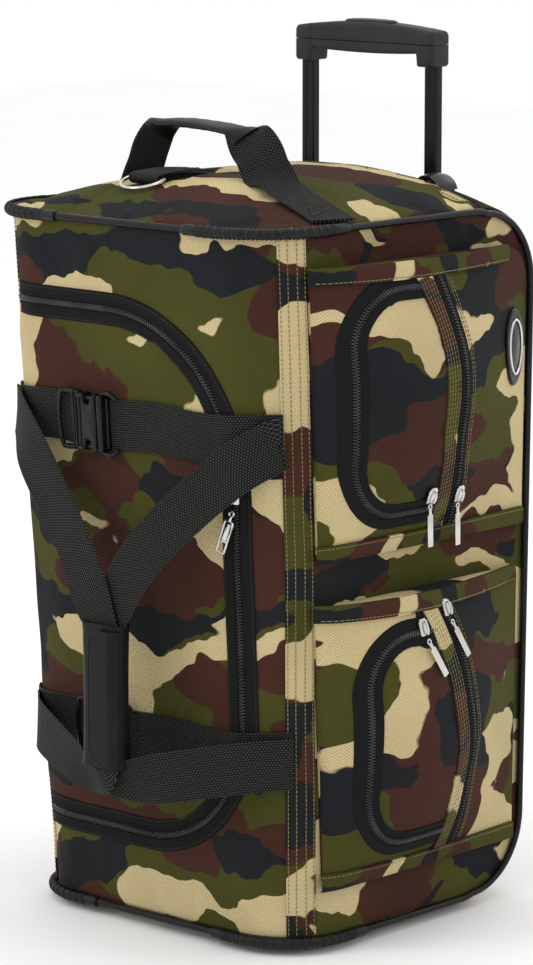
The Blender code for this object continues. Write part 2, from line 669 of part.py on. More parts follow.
def straps(m):
    lid_pivot = wrap(HINGE_S, (ZIP_TOP_Z + ZIP_BOTTOM_Z) / 2, 0.0015)
    for level, z in STRAP_Z.items():
        band = (z - STRAP_W / 2, z + STRAP_W / 2)
        buckle = (z - BUCKLE_H / 2, z + BUCKLE_H / 2)
        lie = (0.001, 0.001 + STRAP_T)
        wrapped_band("strap_left_" + level, (HINGE_S + 0.008, BUCKLE_LEFT_S - GAP), band, lie, m["webbing"],
                     pivot=lid_pivot)
        wrapped_band("strap_right_" + level, (BUCKLE_RIGHT_S + GAP, STRAP_HINGE_S - 0.001), band, lie,
                     m["webbing"], pivot=wrap(STRAP_HINGE_S, z, 0.004))
        socket = wrapped_band("buckle_socket_" + level, (BUCKLE_LEFT_S, BUCKLE_MID_S - GAP), buckle,
                              (0.001, 0.001 + BUCKLE_T), m["plastic"], steps=1, pivot=lid_pivot)
        side_pivot = wrap(STRAP_HINGE_S, z, 0.004)
        clip = wrapped_band("buckle_clip_" + level, (BUCKLE_MID_S + GAP, BUCKLE_RIGHT_S), buckle,
                            (0.001, 0.001 + BUCKLE_T), m["plastic"], steps=1, pivot=side_pivot)
        tongue = wrapped_band("cut_tongue_" + level, (BUCKLE_MID_S - 0.022, BUCKLE_MID_S + 0.010),
                              (z - 0.013, z + 0.013), (0.0055, 0.0105), m["plastic"], steps=1)
        mouth = wrapped_band("cut_mouth_" + level, (BUCKLE_MID_S - 0.024, BUCKLE_MID_S + 0.010),
                             (z - 0.0145, z + 0.0145), (0.0045, 0.0115), m["plastic"], steps=1)
        mouth.hide_render = True
        mouth.display_type = "WIRE"
        join(clip, tongue)
        cut(socket, mouth)


def carry_handles(m):
    """Two webbing loops, one sewn in at each side, that meet in the leather wrap."""
    x, y, z = GRIP_WRAP
    half = GRIP_WRAP_SIZE[2] / 2
    for side, sign, depth in (("right", 1, 0.0012), ("left", -1, -0.0032)):
        sewn = STRAP_HINGE_S - 0.009 if sign > 0 else -HINGE_S - 0.009
        lie = 0.0165 if sign < 0 else 0.006
        points = [
            wrap(sign * sewn, STRAP_Z["upper"] + 0.012, 0.006),
            wrap(sign * (sewn - 0.030), STRAP_Z["upper"] - 0.020, 0.013 + lie / 2),
            Vector((x + sign * 0.040, y + 0.004, z + half + 0.062)),
            Vector((x + sign * 0.010, y + depth, z + half + 0.016)),
            Vector((x, y + depth, z + half - 0.010)),
            Vector((x, y + depth, z)),
            Vector((x, y + depth, z - half + 0.010)),
            Vector((x + sign * 0.008, y + depth, z - half - 0.010)),
            Vector((x + sign * 0.036, y + 0.010, z - half - 0.022)),
            wrap(sign * (sewn - 0.028), STRAP_Z["lower"] - 0.013, 0.013 + lie / 2),
            wrap(sign * sewn, STRAP_Z["lower"] - 0.004, 0.006),
        ]
        path = smooth_path(points)
        middle = (len(path) - 1) / 2

        def width(i):
            away = abs(i - middle) / middle
            return 0.026 + (STRAP_W - 0.026) * min(1.0, max(0.0, (away - 0.42) / 0.25))

        def out(i):
            away = abs(i - middle) / middle
            normal = wrap_frame(sign * sewn, STRAP_Z["upper"])[1]
            return (Vector((0, -1, 0)) * (1 - away ** 3) + normal * away ** 3).normalized()

        ribbon("carry_loop_" + side, path, out, width, m["webbing"])
    w, d, h = (v / 2 for v in GRIP_WRAP_SIZE)
    grip_wrap = box("grip_wrap", (x - w, y - d, z - h), (x + w, y + d, z + h), m["leather"], bevel=0.005)
    slot_low, slot_high = (x - 0.0165, y - 0.0068, z - h - 0.01), (x + 0.0165, y + 0.0058, z + h + 0.01)
    cut(grip_wrap, cutter("wrap_slot", slot_low, slot_high))


# ---------------------------------------------------------------- pockets

def door_radii(gap):
    return (0.045 + gap, 0.004 + gap, 0.004 + gap, 0.045 + gap)


def pocket_outline(which, inset):
    p = POCKETS[which]
    return outline((p["s"][0] + inset, p["s"][1] - inset), (p["z"][0] + inset, p["z"][1] - inset),
                   (0.006, 0.006, p["back_r"], 0.006))


def hinge_shift(which, z):
    """How far behind its middle a door's hinge edge is at a height."""
    d = DOORS[which]
    return d["lean"] * (sum(d["z"]) / 2 - z)


def door_outline(which, grow):
    """A door's outline, grown outwards, with its hinge edge leaning to the front as it rises."""
    d = DOORS[which]
    (s0, s1), (z0, z1) = d["s"], d["z"]
    points = outline((s0 - grow, s1 + grow), (z0 - grow, z1 + grow), door_radii(grow))
    return [(s + hinge_shift(which, z) * (s - s0) / (s1 - s0), z) for s, z in points]


def pockets(m):
    for which, p in POCKETS.items():
        def face(s, z, off, which=which):
            return wrap(s, z, pocket_depth(which, s, z) + off)

        hole = door_outline(which, DOOR_GAP)
        edge, inside = pocket_outline(which, 0), pocket_outline(which, POCKET_T)

        def between(k, off, rim_line=edge):
            return [face(a[0] + (b[0] - a[0]) * k, a[1] + (b[1] - a[1]) * k, off)
                    for a, b in zip(hole, rim_line)]

        rim = 0.0012
        loops = [between(k, 0) for k in (0, 0.4, 0.75, 1)]
        loops += [[wrap(s, z, rim) for s, z in edge], [wrap(s, z, rim) for s, z in inside]]
        loops += [between(k, -POCKET_T, inside) for k in (1, 0.75, 0.4, 0)]
        loft("pocket_" + which, loops, m["camo"], closed=True)
        hinge = door_hinge(which)
        plate("pocket_door_" + which, door_outline(which, 0), face, POCKET_T, m["camo"],
              pivot=(hinge[0] + hinge[1]) / 2, rings=(0.4, 0.75, 1.0))


def door_hinge(which):
    """Lower and upper end of a door's straight fold line, just outside its face at the middle."""
    d = DOORS[which]

    def on_edge(z):
        s = d["s"][1] + DOOR_GAP / 2 + hinge_shift(which, z)
        return wrap(s, z, pocket_depth(which, s, z) + 0.0015)

    low, high = (on_edge(z) for z in d["z"])
    outward = on_edge(sum(d["z"]) / 2) - (low + high) / 2
    return [low + outward, high + outward]


def pocket_pullers(m):
    """Pull tabs of the doors' zips and of the slim upright zips beside them."""
    for which, name, s, z, lean in (
        ("upper", "door", 0.2600, DOORS["upper"]["z"][0] + 0.004, 0.0),
        ("upper", "slim", 0.2960, DOORS["upper"]["z"][0] + 0.000, 0.0),
        ("lower", "door", 0.2380, DOORS["lower"]["z"][1] - 0.006, 0.45),
        ("lower", "slim", 0.2700, DOORS["lower"]["z"][1] + 0.004, 0.45),
    ):
        depth = pocket_depth(which, s, z)
        top = wrap(s, z, depth + 0.0045)
        ahead = wrap(s + 0.02, z, pocket_depth(which, s + 0.02, z) + 0.0045)
        below = wrap(s, z - 0.03, max(depth, pocket_depth(which, s, z - 0.03)) + 0.0045)
        out = (ahead - top).cross(top - below).normalized()
        down = (below - top).normalized() + (ahead - top).normalized() * lean
        puller(f"pocket_puller_{which}_{name}", top, down, out, m)


# ---------------------------------------------------------------- top end

def top_hardware(m):
    top = TOP_Z + GAP + WALL
    ring_x, ring_y = -0.040, -0.096
    tab_back = -0.046

    def on_top(x, y, up):
        return Vector((x, y, top + crown(x, y) + up))

    path = [on_top(ring_x, tab_back + (ring_y - tab_back) * k / 4, 0.0026) for k in range(5)]
    path += [on_top(ring_x, ring_y - 0.0030, 0.0030), on_top(ring_x, ring_y - 0.0036, 0.0053),
             on_top(ring_x, ring_y - 0.0030, 0.0076)]
    path += [on_top(ring_x, ring_y + (tab_back - ring_y) * k / 4, 0.0080) for k in range(5)]

    def tab_face(i):
        turn = min(1.0, max(0.0, (i - 4) / 4))
        return Vector((0, -math.sin(math.pi * turn), -math.cos(math.pi * turn)))

    ribbon("d_ring_tab", path, tab_face, lambda i: 0.028, m["webbing"], thickness=0.0012)
    d_ring(on_top(ring_x, ring_y, 0.0053), m)
    handle_path = [
        on_top(0.112, -0.081, FOOT_RISE), on_top(0.088, -0.0745, 0.0065), on_top(0.066, -0.0685, 0.0090),
        Vector((0.054, -0.065, 0.588)), Vector((0.047, -0.063, 0.600)), Vector((0.030, -0.058, 0.608)),
        Vector((0.000, -0.050, 0.610)), Vector((-0.060, -0.035, 0.610)), Vector((-0.090, -0.028, 0.606)),
        Vector((-0.104, -0.024, 0.594)), on_top(-0.115, -0.021, 0.018), on_top(-0.128, -0.0175, FOOT_RISE),
    ]
    path = smooth_path(handle_path)
    pivot = (handle_path[0] + handle_path[-1]) / 2

    def out(i):
        """The loop's face points up at its feet and its middle, and turns to the lid side on its legs."""
        x = path[i].x
        right = min(1.0, max(0.0, (0.072 - x) / 0.018)) * min(1.0, max(0.0, (x - 0.030) / 0.014))
        left = min(1.0, max(0.0, (x + 0.126) / 0.016)) * min(1.0, max(0.0, (-0.086 - x) / 0.014))
        return Vector((0, 0, 1 - 0.9 * (right + left))) + Vector((0.67, -0.74, 0)) * (right - left)

    def narrow(i):
        away = abs(i - (len(path) - 1) / 2) / ((len(path) - 1) / 2)
        return 0.022 + 0.014 * min(1.0, max(0.0, (away - 0.45) / 0.3))

    ribbon("top_handle", path, out, narrow, m["webbing"], thickness=0.003, pivot=pivot)


def d_ring(centre, m):
    """Steel ring with one straight side, which its tab holds."""
    radius, bar = 0.0015, 0.0175
    path = [centre + Vector((x, 0, 0)) for x in (-bar, 0, bar)]
    for k in range(9):
        angle = math.pi * k / 8
        reach = 0.004 + 0.016 * math.sin(angle)
        path.append(centre + Vector((1.06 * bar * math.cos(angle), -reach * math.cos(RING_DROOP),
                                     -reach * math.sin(RING_DROOP))))
    tube_on_path("d_ring", path, radius, m["steel"], sides=6)
    item = bpy.data.objects["d_ring"]
    item.data.transform(Matrix.Translation(-centre))
    item.location = centre


# ---------------------------------------------------------------- assembly

def stand_on_origin():
    """Moves everything so that the origin is the bottom centre of the object's box."""
    bpy.context.view_layer.update()
    corners = [item.matrix_world @ Vector(c) for item in bpy.data.objects
               if item.type == "MESH" and not item.hide_render for c in item.bound_box]
    low = [min(c[i] for c in corners) for i in range(3)]
    high = [max(c[i] for c in corners) for i in range(3)]
    origin = bpy.data.objects.new("bag_origin", None)
    bpy.context.scene.collection.objects.link(origin)
    for item in bpy.data.objects:
        if item is not origin:
            item.parent = origin
    origin.location = (-(low[0] + high[0]) / 2, -(low[1] + high[1]) / 2, -low[2])
    print("origin moved by", tuple(round(v, 5) for v in origin.location))


def main():
    clear_scene()
    m = materials()
    front_and_sides(m)
    ends_and_back(m)
    trim(m)
    frame_inside(m)
    wheels(m)
    trolley(m)
    lid(m)
    straps(m)
    carry_handles(m)
    pockets(m)
    pocket_pullers(m)
    top_hardware(m)
    stand_on_origin()


main()
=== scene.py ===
"""Looks of the rolling duffel bag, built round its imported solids.

Metres, +Z up. X runs across the handle, the lid faces -Y, the pockets face +X and the wheels are at +Y.
Shapes are worked out in the bag's own coordinates and moved by ORIGIN into the frame as they are made.
The soft body is wrap(s, z, off): s is the distance round the body from the middle of the front, positive
towards the pocket side, z is the height, and off is the distance outside the fabric.
"""
import math

import bmesh
import bpy
import numpy as np
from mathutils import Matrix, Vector, noise


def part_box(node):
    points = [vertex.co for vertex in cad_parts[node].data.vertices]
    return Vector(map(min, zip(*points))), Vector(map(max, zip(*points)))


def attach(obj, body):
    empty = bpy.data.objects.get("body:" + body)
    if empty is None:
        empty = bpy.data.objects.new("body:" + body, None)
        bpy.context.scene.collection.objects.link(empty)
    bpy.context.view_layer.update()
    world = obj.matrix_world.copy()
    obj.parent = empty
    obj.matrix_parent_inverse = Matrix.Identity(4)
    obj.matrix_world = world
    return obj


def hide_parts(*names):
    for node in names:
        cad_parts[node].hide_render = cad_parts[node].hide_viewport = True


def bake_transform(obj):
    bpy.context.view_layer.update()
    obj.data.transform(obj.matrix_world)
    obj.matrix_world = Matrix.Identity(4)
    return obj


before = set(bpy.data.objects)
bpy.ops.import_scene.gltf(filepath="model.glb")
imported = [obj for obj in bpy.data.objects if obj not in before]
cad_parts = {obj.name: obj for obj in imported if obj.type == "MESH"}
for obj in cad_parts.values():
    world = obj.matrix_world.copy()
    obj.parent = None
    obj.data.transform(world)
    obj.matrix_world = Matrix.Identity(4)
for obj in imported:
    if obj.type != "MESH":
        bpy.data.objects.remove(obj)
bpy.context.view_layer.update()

# ---------------------------------------------------------------- dimensions of the solids

BOTTOM_Z, TOP_Z = 0.012, 0.548          # lower and upper edge of the front and side panels
HALF_WIDTH = (0.140, 0.147)             # at BOTTOM_Z and at TOP_Z
FRONT_Y = (-0.130, -0.164)              # the lid side leans out towards the top
BACK_Y = 0.1345
CORNER_R = 0.055                        # upright front corners
END_R = 0.057                           # back corners of the side panels
WALL = 0.003
CROWN = 0.024                           # rise of the padded top end
SEAM_Z = {"top": TOP_Z + 0.002, "bottom": BOTTOM_Z - 0.002}    # heights of the piping

SEAM_S = 0.148                          # where the front panel meets the side panels
HINGE_S = -0.1245                       # fold line of the lid
ZIP_RIGHT_S, ZIP_TOP_Z, ZIP_BOTTOM_Z = 0.101, 0.483, 0.076
ZIP_TOP_R, ZIP_BOTTOM_R = 0.121, 0.104
SLIDER_Z = 0.352
LID_INSET = 0.005                       # the lid's fabric stops this far inside its zip's line

STRAP_W, STRAP_T = 0.039, 0.0022        # webbing
STRAP_Z = {"upper": 0.396, "lower": 0.154}
BUCKLE_LEFT_S, BUCKLE_MID_S, BUCKLE_H = -0.066, -0.025, 0.046
STRAP_HINGE_S = 0.1375                  # where the right-hand straps are sewn in

GRIP_WRAP = Vector((0.008, -0.192, 0.197))
GRIP_WRAP_SIZE = (0.040, 0.022, 0.110)

POST_X, POST_Y = 0.064, 0.1175
POST_HOLE = 0.0145                      # half the width of the opening round a post
GRIP_Z, GRIP_H, GRIP_HALF_W = 0.653, 0.030, 0.0715
GRIP_HALF_D, GRIP_SPLIT, GRIP_RISE = 0.0110, 0.017, 0.0026

WHEEL_X, WHEEL_Y, WHEEL_R, WHEEL_W = 0.090, 0.118, 0.0280, 0.024
HUB_R, AXLE_R, HOUSING_W = 0.0185, 0.0030, 0.040
WELL_TOP = 0.078                        # upper edge of the openings that the wheel housings fill

POCKETS = {
    "upper": dict(s=(0.161, 0.395), z=(0.305, 0.521), bulge=0.038, back_r=0.030),
    "lower": dict(s=(0.157, 0.390), z=(0.052, 0.268), bulge=0.042, back_r=0.006),
}
BULGE_REACH = 0.82                      # how much of a half wave the bulge runs through up the pocket
DOORS = {
    "upper": dict(s=(0.183, 0.2539), z=(0.332, 0.505), lean=0.155),
    "lower": dict(s=(0.184, 0.2557), z=(0.078, 0.243), lean=0.164),
}
POCKET_RIM = 0.004
DOOR_GAP = 0.0045
DOOR_INSET = 0.004                      # a door's fabric stops this far inside its zip's line
DOOR_R = 0.045                          # rounded corners of a pocket door's free edge

RING_DROOP = 18.0                       # degrees that the D-ring hangs down over the front slope
STAND_Y = -0.095                        # middle of the bar that the front edge stands on

stand_low, stand_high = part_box("stand_bar")
ORIGIN = Vector(((stand_low.x + stand_high.x) / 2, (stand_low.y + stand_high.y) / 2 - STAND_Y, 0))


# ---------------------------------------------------------------- the soft body's shape

def between(t, low, high):
    return low + (high - low) * t


def spread(low, high, steps):
    """Values at even distances from low to high, both ends included."""
    return [between(k / steps, low, high) for k in range(steps + 1)]


def crowded(t, low, high):
    """As between, but values of t at even distances come out closer together towards both ends."""
    return between((1 - math.cos(math.pi * t)) / 2, low, high)


def full_turn(count):
    """Angles at even distances all the way round."""
    return [2 * math.pi * k / count for k in range(count)]


def clamped(t):
    return min(1.0, max(0.0, t))


def eased(t):
    t = clamped(t)
    return t * t * (3 - 2 * t)


def share(z):
    return (z - BOTTOM_Z) / (TOP_Z - BOTTOM_Z)


def half_width(z):
    return between(share(z), *HALF_WIDTH)


def front_y(z):
    return between(share(z), *FRONT_Y)


FLAT_S = sum(HALF_WIDTH) / 2 - CORNER_R                  # half the flat part of the front
TURN_S = FLAT_S + CORNER_R * math.pi / 2                 # where the flat side begins
END_S = TURN_S + BACK_Y - sum(FRONT_Y) / 2 - CORNER_R    # the back edge of the side


def wrap_frame(s, z):
    """Point on the fabric and its outward normal."""
    sign = math.copysign(1, s)
    s = abs(s)
    flat = half_width(z) - CORNER_R
    middle_y = front_y(z) + CORNER_R
    if s < FLAT_S:
        point, normal = (flat * s / FLAT_S, front_y(z)), (0, -1)
    elif s < TURN_S:
        turn = (s - FLAT_S) / CORNER_R
        normal = (math.sin(turn), -math.cos(turn))
        point = (flat + CORNER_R * normal[0], middle_y + CORNER_R * normal[1])
    else:
        along = (s - TURN_S) / (END_S - TURN_S)
        point, normal = (half_width(z), between(along, middle_y, BACK_Y)), (1, 0)
    return Vector((sign * point[0], point[1], z)), Vector((sign * normal[0], normal[1], 0))


def wrap(s, z, off=0.0):
    point, normal = wrap_frame(s, z)
    return point + off * normal


def rumple(s, z, size, seed=0.0):
    """Soft unevenness of cloth over foam, in metres."""
    long_folds = noise.noise(Vector((s * 11, z * 19, seed)))
    short_folds = noise.noise(Vector((s * 34, z * 23, seed + 5)))
    return size * (0.8 * long_folds + 0.35 * short_folds)


def body_face(s, z, off=0.0):
    """The fabric of the front and sides, with its unevenness dying out at the ends."""
    edge = eased((z - BOTTOM_Z) / 0.03) * eased((TOP_Z - z) / 0.03) * eased((END_S - abs(s)) / 0.03)
    return wrap(s, z, off + rumple(s, z, 0.0016) * edge)


def left_face(s, z, off=0.0):
    return body_face(-s, z, off)


def crown(x, y):
    """Rise of the top end: full along the middle, nothing at its sides and at the front edge."""
    across = max(0.0, 1 - abs(x / HALF_WIDTH[1]) ** 2.2)
    forward = clamped((y - FRONT_Y[1]) / 0.110)
    return CROWN * across * math.sin(forward * math.pi / 2)


def top_face(x, y, off=0.0):
    return Vector((x, y, TOP_Z + WALL + crown(x, y) + off))


def pocket_depth(which, s, z):
    """How far the pocket's face stands off the side: most near its middle, least at its lower edge."""
    pocket = POCKETS[which]
    along = clamped((s - pocket["s"][0]) / (pocket["s"][1] - pocket["s"][0]))
    up = clamped((z - pocket["z"][0]) / (pocket["z"][1] - pocket["z"][0]))
    rise = math.sin(math.pi * BULGE_REACH * up ** 0.9)
    return POCKET_RIM + pocket["bulge"] * math.sin(math.pi * along ** 0.75) * rise


def pocket_face(which):
    seed = 3.0 if which == "upper" else 8.0

    def face(s, z, off=0.0):
        pocket = POCKETS[which]
        inside = min(s - pocket["s"][0], pocket["s"][1] - s, z - pocket["z"][0], pocket["z"][1] - z)
        uneven = rumple(s, z, 0.0024, seed) * eased(inside / 0.04)
        return wrap(s, z, pocket_depth(which, s, z) + off + uneven)

    return face


# ---------------------------------------------------------------- lines on the fabric, in (s, z)

def resample(points, step):
    """Points at even distances along a line of any dimension."""
    points = [np.array(p, float) for p in points]
    lengths = [0.0]
    for a, b in zip(points, points[1:]):
        lengths.append(lengths[-1] + float(np.linalg.norm(b - a)))
    count = max(1, round(lengths[-1] / step))
    targets = np.linspace(0, lengths[-1], count + 1)
    columns = [np.interp(targets, lengths, [p[i] for p in points]) for i in range(len(points[0]))]
    return [tuple(map(float, row)) for row in np.stack(columns, axis=1)]


def arc(centre, radius, start, end, steps=24):
    """Points round part of a circle; angles in degrees."""
    turns = [math.radians(angle) for angle in spread(start, end, steps)]
    return [(centre[0] + radius * math.cos(a), centre[1] + radius * math.sin(a)) for a in turns]


def lid_line(grow=0.0):
    """The lid zip's line from its upper left end, over the right side, to its lower left end."""
    top_r, bottom_r = ZIP_TOP_R + grow, ZIP_BOTTOM_R + grow
    top_centre = (ZIP_RIGHT_S - ZIP_TOP_R, ZIP_TOP_Z - ZIP_TOP_R)
    bottom_centre = (ZIP_RIGHT_S - ZIP_BOTTOM_R, ZIP_BOTTOM_Z + ZIP_BOTTOM_R)
    left = HINGE_S + 0.004
    return ([(left, ZIP_TOP_Z + grow)] + arc(top_centre, top_r, 90, 0)
            + arc(bottom_centre, bottom_r, 0, -90) + [(left, ZIP_BOTTOM_Z - grow)])


def right_edge(z, grow):
    """The lid zip's right-hand line at a height."""
    top, bottom = ZIP_TOP_Z - ZIP_TOP_R, ZIP_BOTTOM_Z + ZIP_BOTTOM_R
    if z > top:
        reach = ZIP_TOP_R + grow
        return ZIP_RIGHT_S - ZIP_TOP_R + math.sqrt(max(0, reach ** 2 - (z - top) ** 2))
    if z < bottom:
        reach = ZIP_BOTTOM_R + grow
        return ZIP_RIGHT_S - ZIP_BOTTOM_R + math.sqrt(max(0, reach ** 2 - (z - bottom) ** 2))
    return ZIP_RIGHT_S + grow


STRIP_LINES = {                         # the stitched strip beside each door: upper and lower end
    "upper": ((0.2500, 0.5195), (0.2830, 0.3065)),
    "lower": ((0.2500, 0.2665), (0.2850, 0.0535)),
}
STRIP_BOW = {"upper": (0.0065, 0.6), "lower": (0.0090, 1.0)}   # how far it bows back, over which share
STRIP_HALF = 0.0078
SLIM_BEHIND = 0.0165                    # the slim upright zip is this far behind the strip


def strip_s(which, z):
    """Middle of the strip beside a door, at a height."""
    (s0, z0), (s1, z1) = STRIP_LINES[which]
    size, reach = STRIP_BOW[which]
    down = clamped((z - z0) / (z1 - z0))
    return between(down, s0, s1) + size * math.sin(math.pi * clamped(down / reach))


def strip_line(which, behind=0.0):
    """The strip's middle line from its upper end down, or a line that runs behind it."""
    (_, z0), (_, z1) = STRIP_LINES[which]
    return [(strip_s(which, z) + behind, z) for z in spread(z0, z1, 40)]


def fold_s(which, z):
    """The straight line that a door folds on, just in front of the strip."""
    door = DOORS[which]
    return door["s"][1] + DOOR_GAP / 2 + door["lean"] * (sum(door["z"]) / 2 - z)


def door_line(which, grow=0.0):
    """The door zip's line from its lower right end, over its free edge, to its upper right end."""
    door = DOORS[which]
    (s0, _), (z0, z1) = door["s"], door["z"]
    middle = s0 + DOOR_R
    low = [(strip_s(which, z0) - 0.002, z0 - grow)]
    high = [(strip_s(which, z1) - 0.002, z1 + grow)]
    turn_low = arc((middle, z0 + DOOR_R), DOOR_R + grow, -90, -180)
    turn_high = arc((middle, z1 - DOOR_R), DOOR_R + grow, 180, 90)
    return low + turn_low + turn_high + high


def door_left(which, z, grow):
    """Free edge of a door at a height."""
    door = DOORS[which]
    (s0, _), (z0, z1) = door["s"], door["z"]
    reach = DOOR_R + grow
    rise = max(0.0, z - (z1 - DOOR_R), z0 + DOOR_R - z)
    return s0 + DOOR_R - math.sqrt(max(0.0, reach ** 2 - rise ** 2))


def rectangle(s, z, radii, corner_steps=14, side_steps=34):
    """Closed outline in (s, z), anticlockwise from the lower left, with a radius for each corner."""
    (s0, s1), (z0, z1) = s, z
    corners = ((s0, z0), (s1, z0), (s1, z1), (s0, z1))
    inward = ((1, 1), (-1, 1), (-1, -1), (1, -1))
    points = []
    for i in range(4):
        (cs, cz), (ds, dz), r = corners[i], inward[i], radii[i]
        turn = arc((cs + ds * r, cz + dz * r), r, 180 + 90 * i, 270 + 90 * i, corner_steps)
        (ns, nz), (es, ez), q = corners[(i + 1) % 4], inward[(i + 1) % 4], radii[(i + 1) % 4]
        end = arc((ns + es * q, nz + ez * q), q, 270 + 90 * i, 270 + 90 * i, 1)[0]
        points += turn
        for k in range(1, side_steps):
            t = k / side_steps
            points.append((between(t, turn[-1][0], end[0]), between(t, turn[-1][1], end[1])))
    return points


def lid_outline(grow):
    """The lid zip's line grown outwards, as a closed outline."""
    return rectangle((HINGE_S - 0.002, ZIP_RIGHT_S + grow), (ZIP_BOTTOM_Z - grow, ZIP_TOP_Z + grow),
                     (0.002, ZIP_BOTTOM_R + grow, ZIP_TOP_R + grow, 0.002))


def door_outline(which, grow):
    """A door's outline grown outwards. Its hinge edge lies under the stitched strip."""
    door = DOORS[which]
    (s0, _), (z0, z1) = door["s"], door["z"]
    span = 0.070
    points = rectangle((s0 - grow, s0 + span), (z0 - grow, z1 + grow),
                       (DOOR_R + grow, 0.002, 0.002, DOOR_R + grow))
    stretched = []
    for s, z in points:
        right = strip_s(which, z) - 0.003
        beyond = s - (s0 + DOOR_R)
        if beyond > 0:
            s = s0 + DOOR_R + beyond / (span - DOOR_R) * (right - s0 - DOOR_R)
        stretched.append((s, z))
    return stretched


# ---------------------------------------------------------------- making pieces

class Shape:
    """Points, faces and cloth coordinates of one piece while it is being made."""

    def __init__(self):
        self.points = []
        self.cloth = []
        self.faces = []
        self.slots = []

    def add(self, points, faces, cloth=None, slot=0):
        first = len(self.points)
        self.points += [Vector(p) for p in points]
        self.cloth += [tuple(c) for c in cloth] if cloth else [tuple(p) for p in points]
        self.faces += [tuple(first + i for i in face) for face in faces]
        self.slots += [slot] * len(faces)

    def skin(self, rows, cloth=None, closed=False, around=False, caps=False, slot=0, skip=None):
        """Quads between rows of points; closed joins a row's ends, around the last row to the first."""
        count = len(rows[0])
        faces = []
        for i in range(len(rows) if around else len(rows) - 1):
            a, b = i * count, (i + 1) % len(rows) * count
            for k in range(count if closed else count - 1):
                if skip and skip(i, k):
                    continue
                n = (k + 1) % count
                faces.append((a + k, a + n, b + n, b + k))
        if caps:
            last = (len(rows) - 1) * count
            faces += [tuple(range(count))[::-1], tuple(range(last, last + count))]
        flat = [p for row in rows for p in row]
        self.add(flat, faces, [c for row in cloth for c in row] if cloth else None, slot)

    def block(self, low, high, bevel, place=None, segments=2):
        """Box with rounded edges; place maps its own coordinates into the bag's."""
        bm = bmesh.new()
        bmesh.ops.create_cube(bm, size=1)
        middle, size = (Vector(low) + Vector(high)) / 2, Vector(high) - Vector(low)
        for v in bm.verts:
            v.co = Vector((v.co.x * size.x, v.co.y * size.y, v.co.z * size.z)) + middle
        if bevel:
            bmesh.ops.bevel(bm, geom=bm.edges, offset=bevel, segments=segments, profile=0.5,
                            affect="EDGES")
        bm.verts.index_update()
        points = [v.co.copy() for v in bm.verts]
        faces = [tuple(v.index for v in f.verts) for f in bm.faces]
        bm.free()
        self.add([place(*p) for p in points] if place else points, faces, points)

    def wire(self, path, radius, sides=8, closed=False):
        """Round bar along a path; radius is a number or a function of the point's index."""
        path = [Vector(p) for p in path]
        rows, first = [], None
        for i, point in enumerate(path):
            ahead = path[(i + 1) % len(path)] if closed else path[min(i + 1, len(path) - 1)]
            behind = path[i - 1] if closed else path[max(i - 1, 0)]
            along = (ahead - behind).normalized()
            side = along.orthogonal() if first is None else first - along * first.dot(along)
            first = side.normalized()
            second = along.cross(first)
            r = radius(i) if callable(radius) else radius
            turns = full_turn(sides)
            rows.append([point + r * (math.cos(a) * first + math.sin(a) * second) for a in turns])
        self.skin(rows, closed=True, around=closed, caps=not closed)

    def turned(self, profile, centre, steps):
        """Solid of revolution about an X axis; profile is (x, r) round its closed section."""
        rows = []
        for angle in full_turn(steps):
            out = Vector((0, math.cos(angle), math.sin(angle)))
            rows.append([Vector(centre) + Vector((x, 0, 0)) + r * out for x, r in profile])
        self.skin(rows, closed=True, around=True)

    def make(self, name, materials, outward=False, sharp=35):
        """The finished object. outward turns an open sheet's faces away from the bag's middle."""
        mesh = bpy.data.meshes.new(name)
        mesh.from_pydata([p + ORIGIN for p in self.points], [], self.faces)
        for material in materials if isinstance(materials, (list, tuple)) else [materials]:
            mesh.materials.append(material)
        mesh.polygons.foreach_set("material_index", self.slots)
        cloth = mesh.attributes.new("cloth", "FLOAT_VECTOR", "POINT")
        cloth.data.foreach_set("vector", [c for point in self.cloth for c in point])
        mesh.update()
        bm = bmesh.new()
        bm.from_mesh(mesh)
        bmesh.ops.recalc_face_normals(bm, faces=bm.faces)
        if outward:
            middle = ORIGIN + Vector((0, -0.01, 0.28))
            facing = sum(f.normal.dot(f.calc_center_median() - middle) * f.calc_area() for f in bm.faces)
            if facing < 0:
                bmesh.ops.reverse_faces(bm, faces=bm.faces)
        bm.to_mesh(mesh)
        bm.free()
        mesh.shade_smooth()
        mesh.set_sharp_from_angle(angle=math.radians(sharp))
        item = bpy.data.objects.new(name, mesh)
        bpy.context.scene.collection.objects.link(item)
        return item


def bake_modifiers(item):
    """Replaces the mesh by what its modifiers make of it."""
    graph = bpy.context.evaluated_depsgraph_get()
    made = bpy.data.meshes.new_from_object(item.evaluated_get(graph), preserve_all_data_layers=True,
                                           depsgraph=graph)
    item.modifiers.clear()
    item.data = made
    return item


def thicken(item, thickness=WALL * 0.7, lining=True):
    """Gives a sheet its thickness inwards, with the lining as its second material."""
    solid = item.modifiers.new("thickness", "SOLIDIFY")
    solid.thickness = thickness
    solid.offset = -1
    solid.material_offset = 1 if lining else 0
    return bake_modifiers(item)


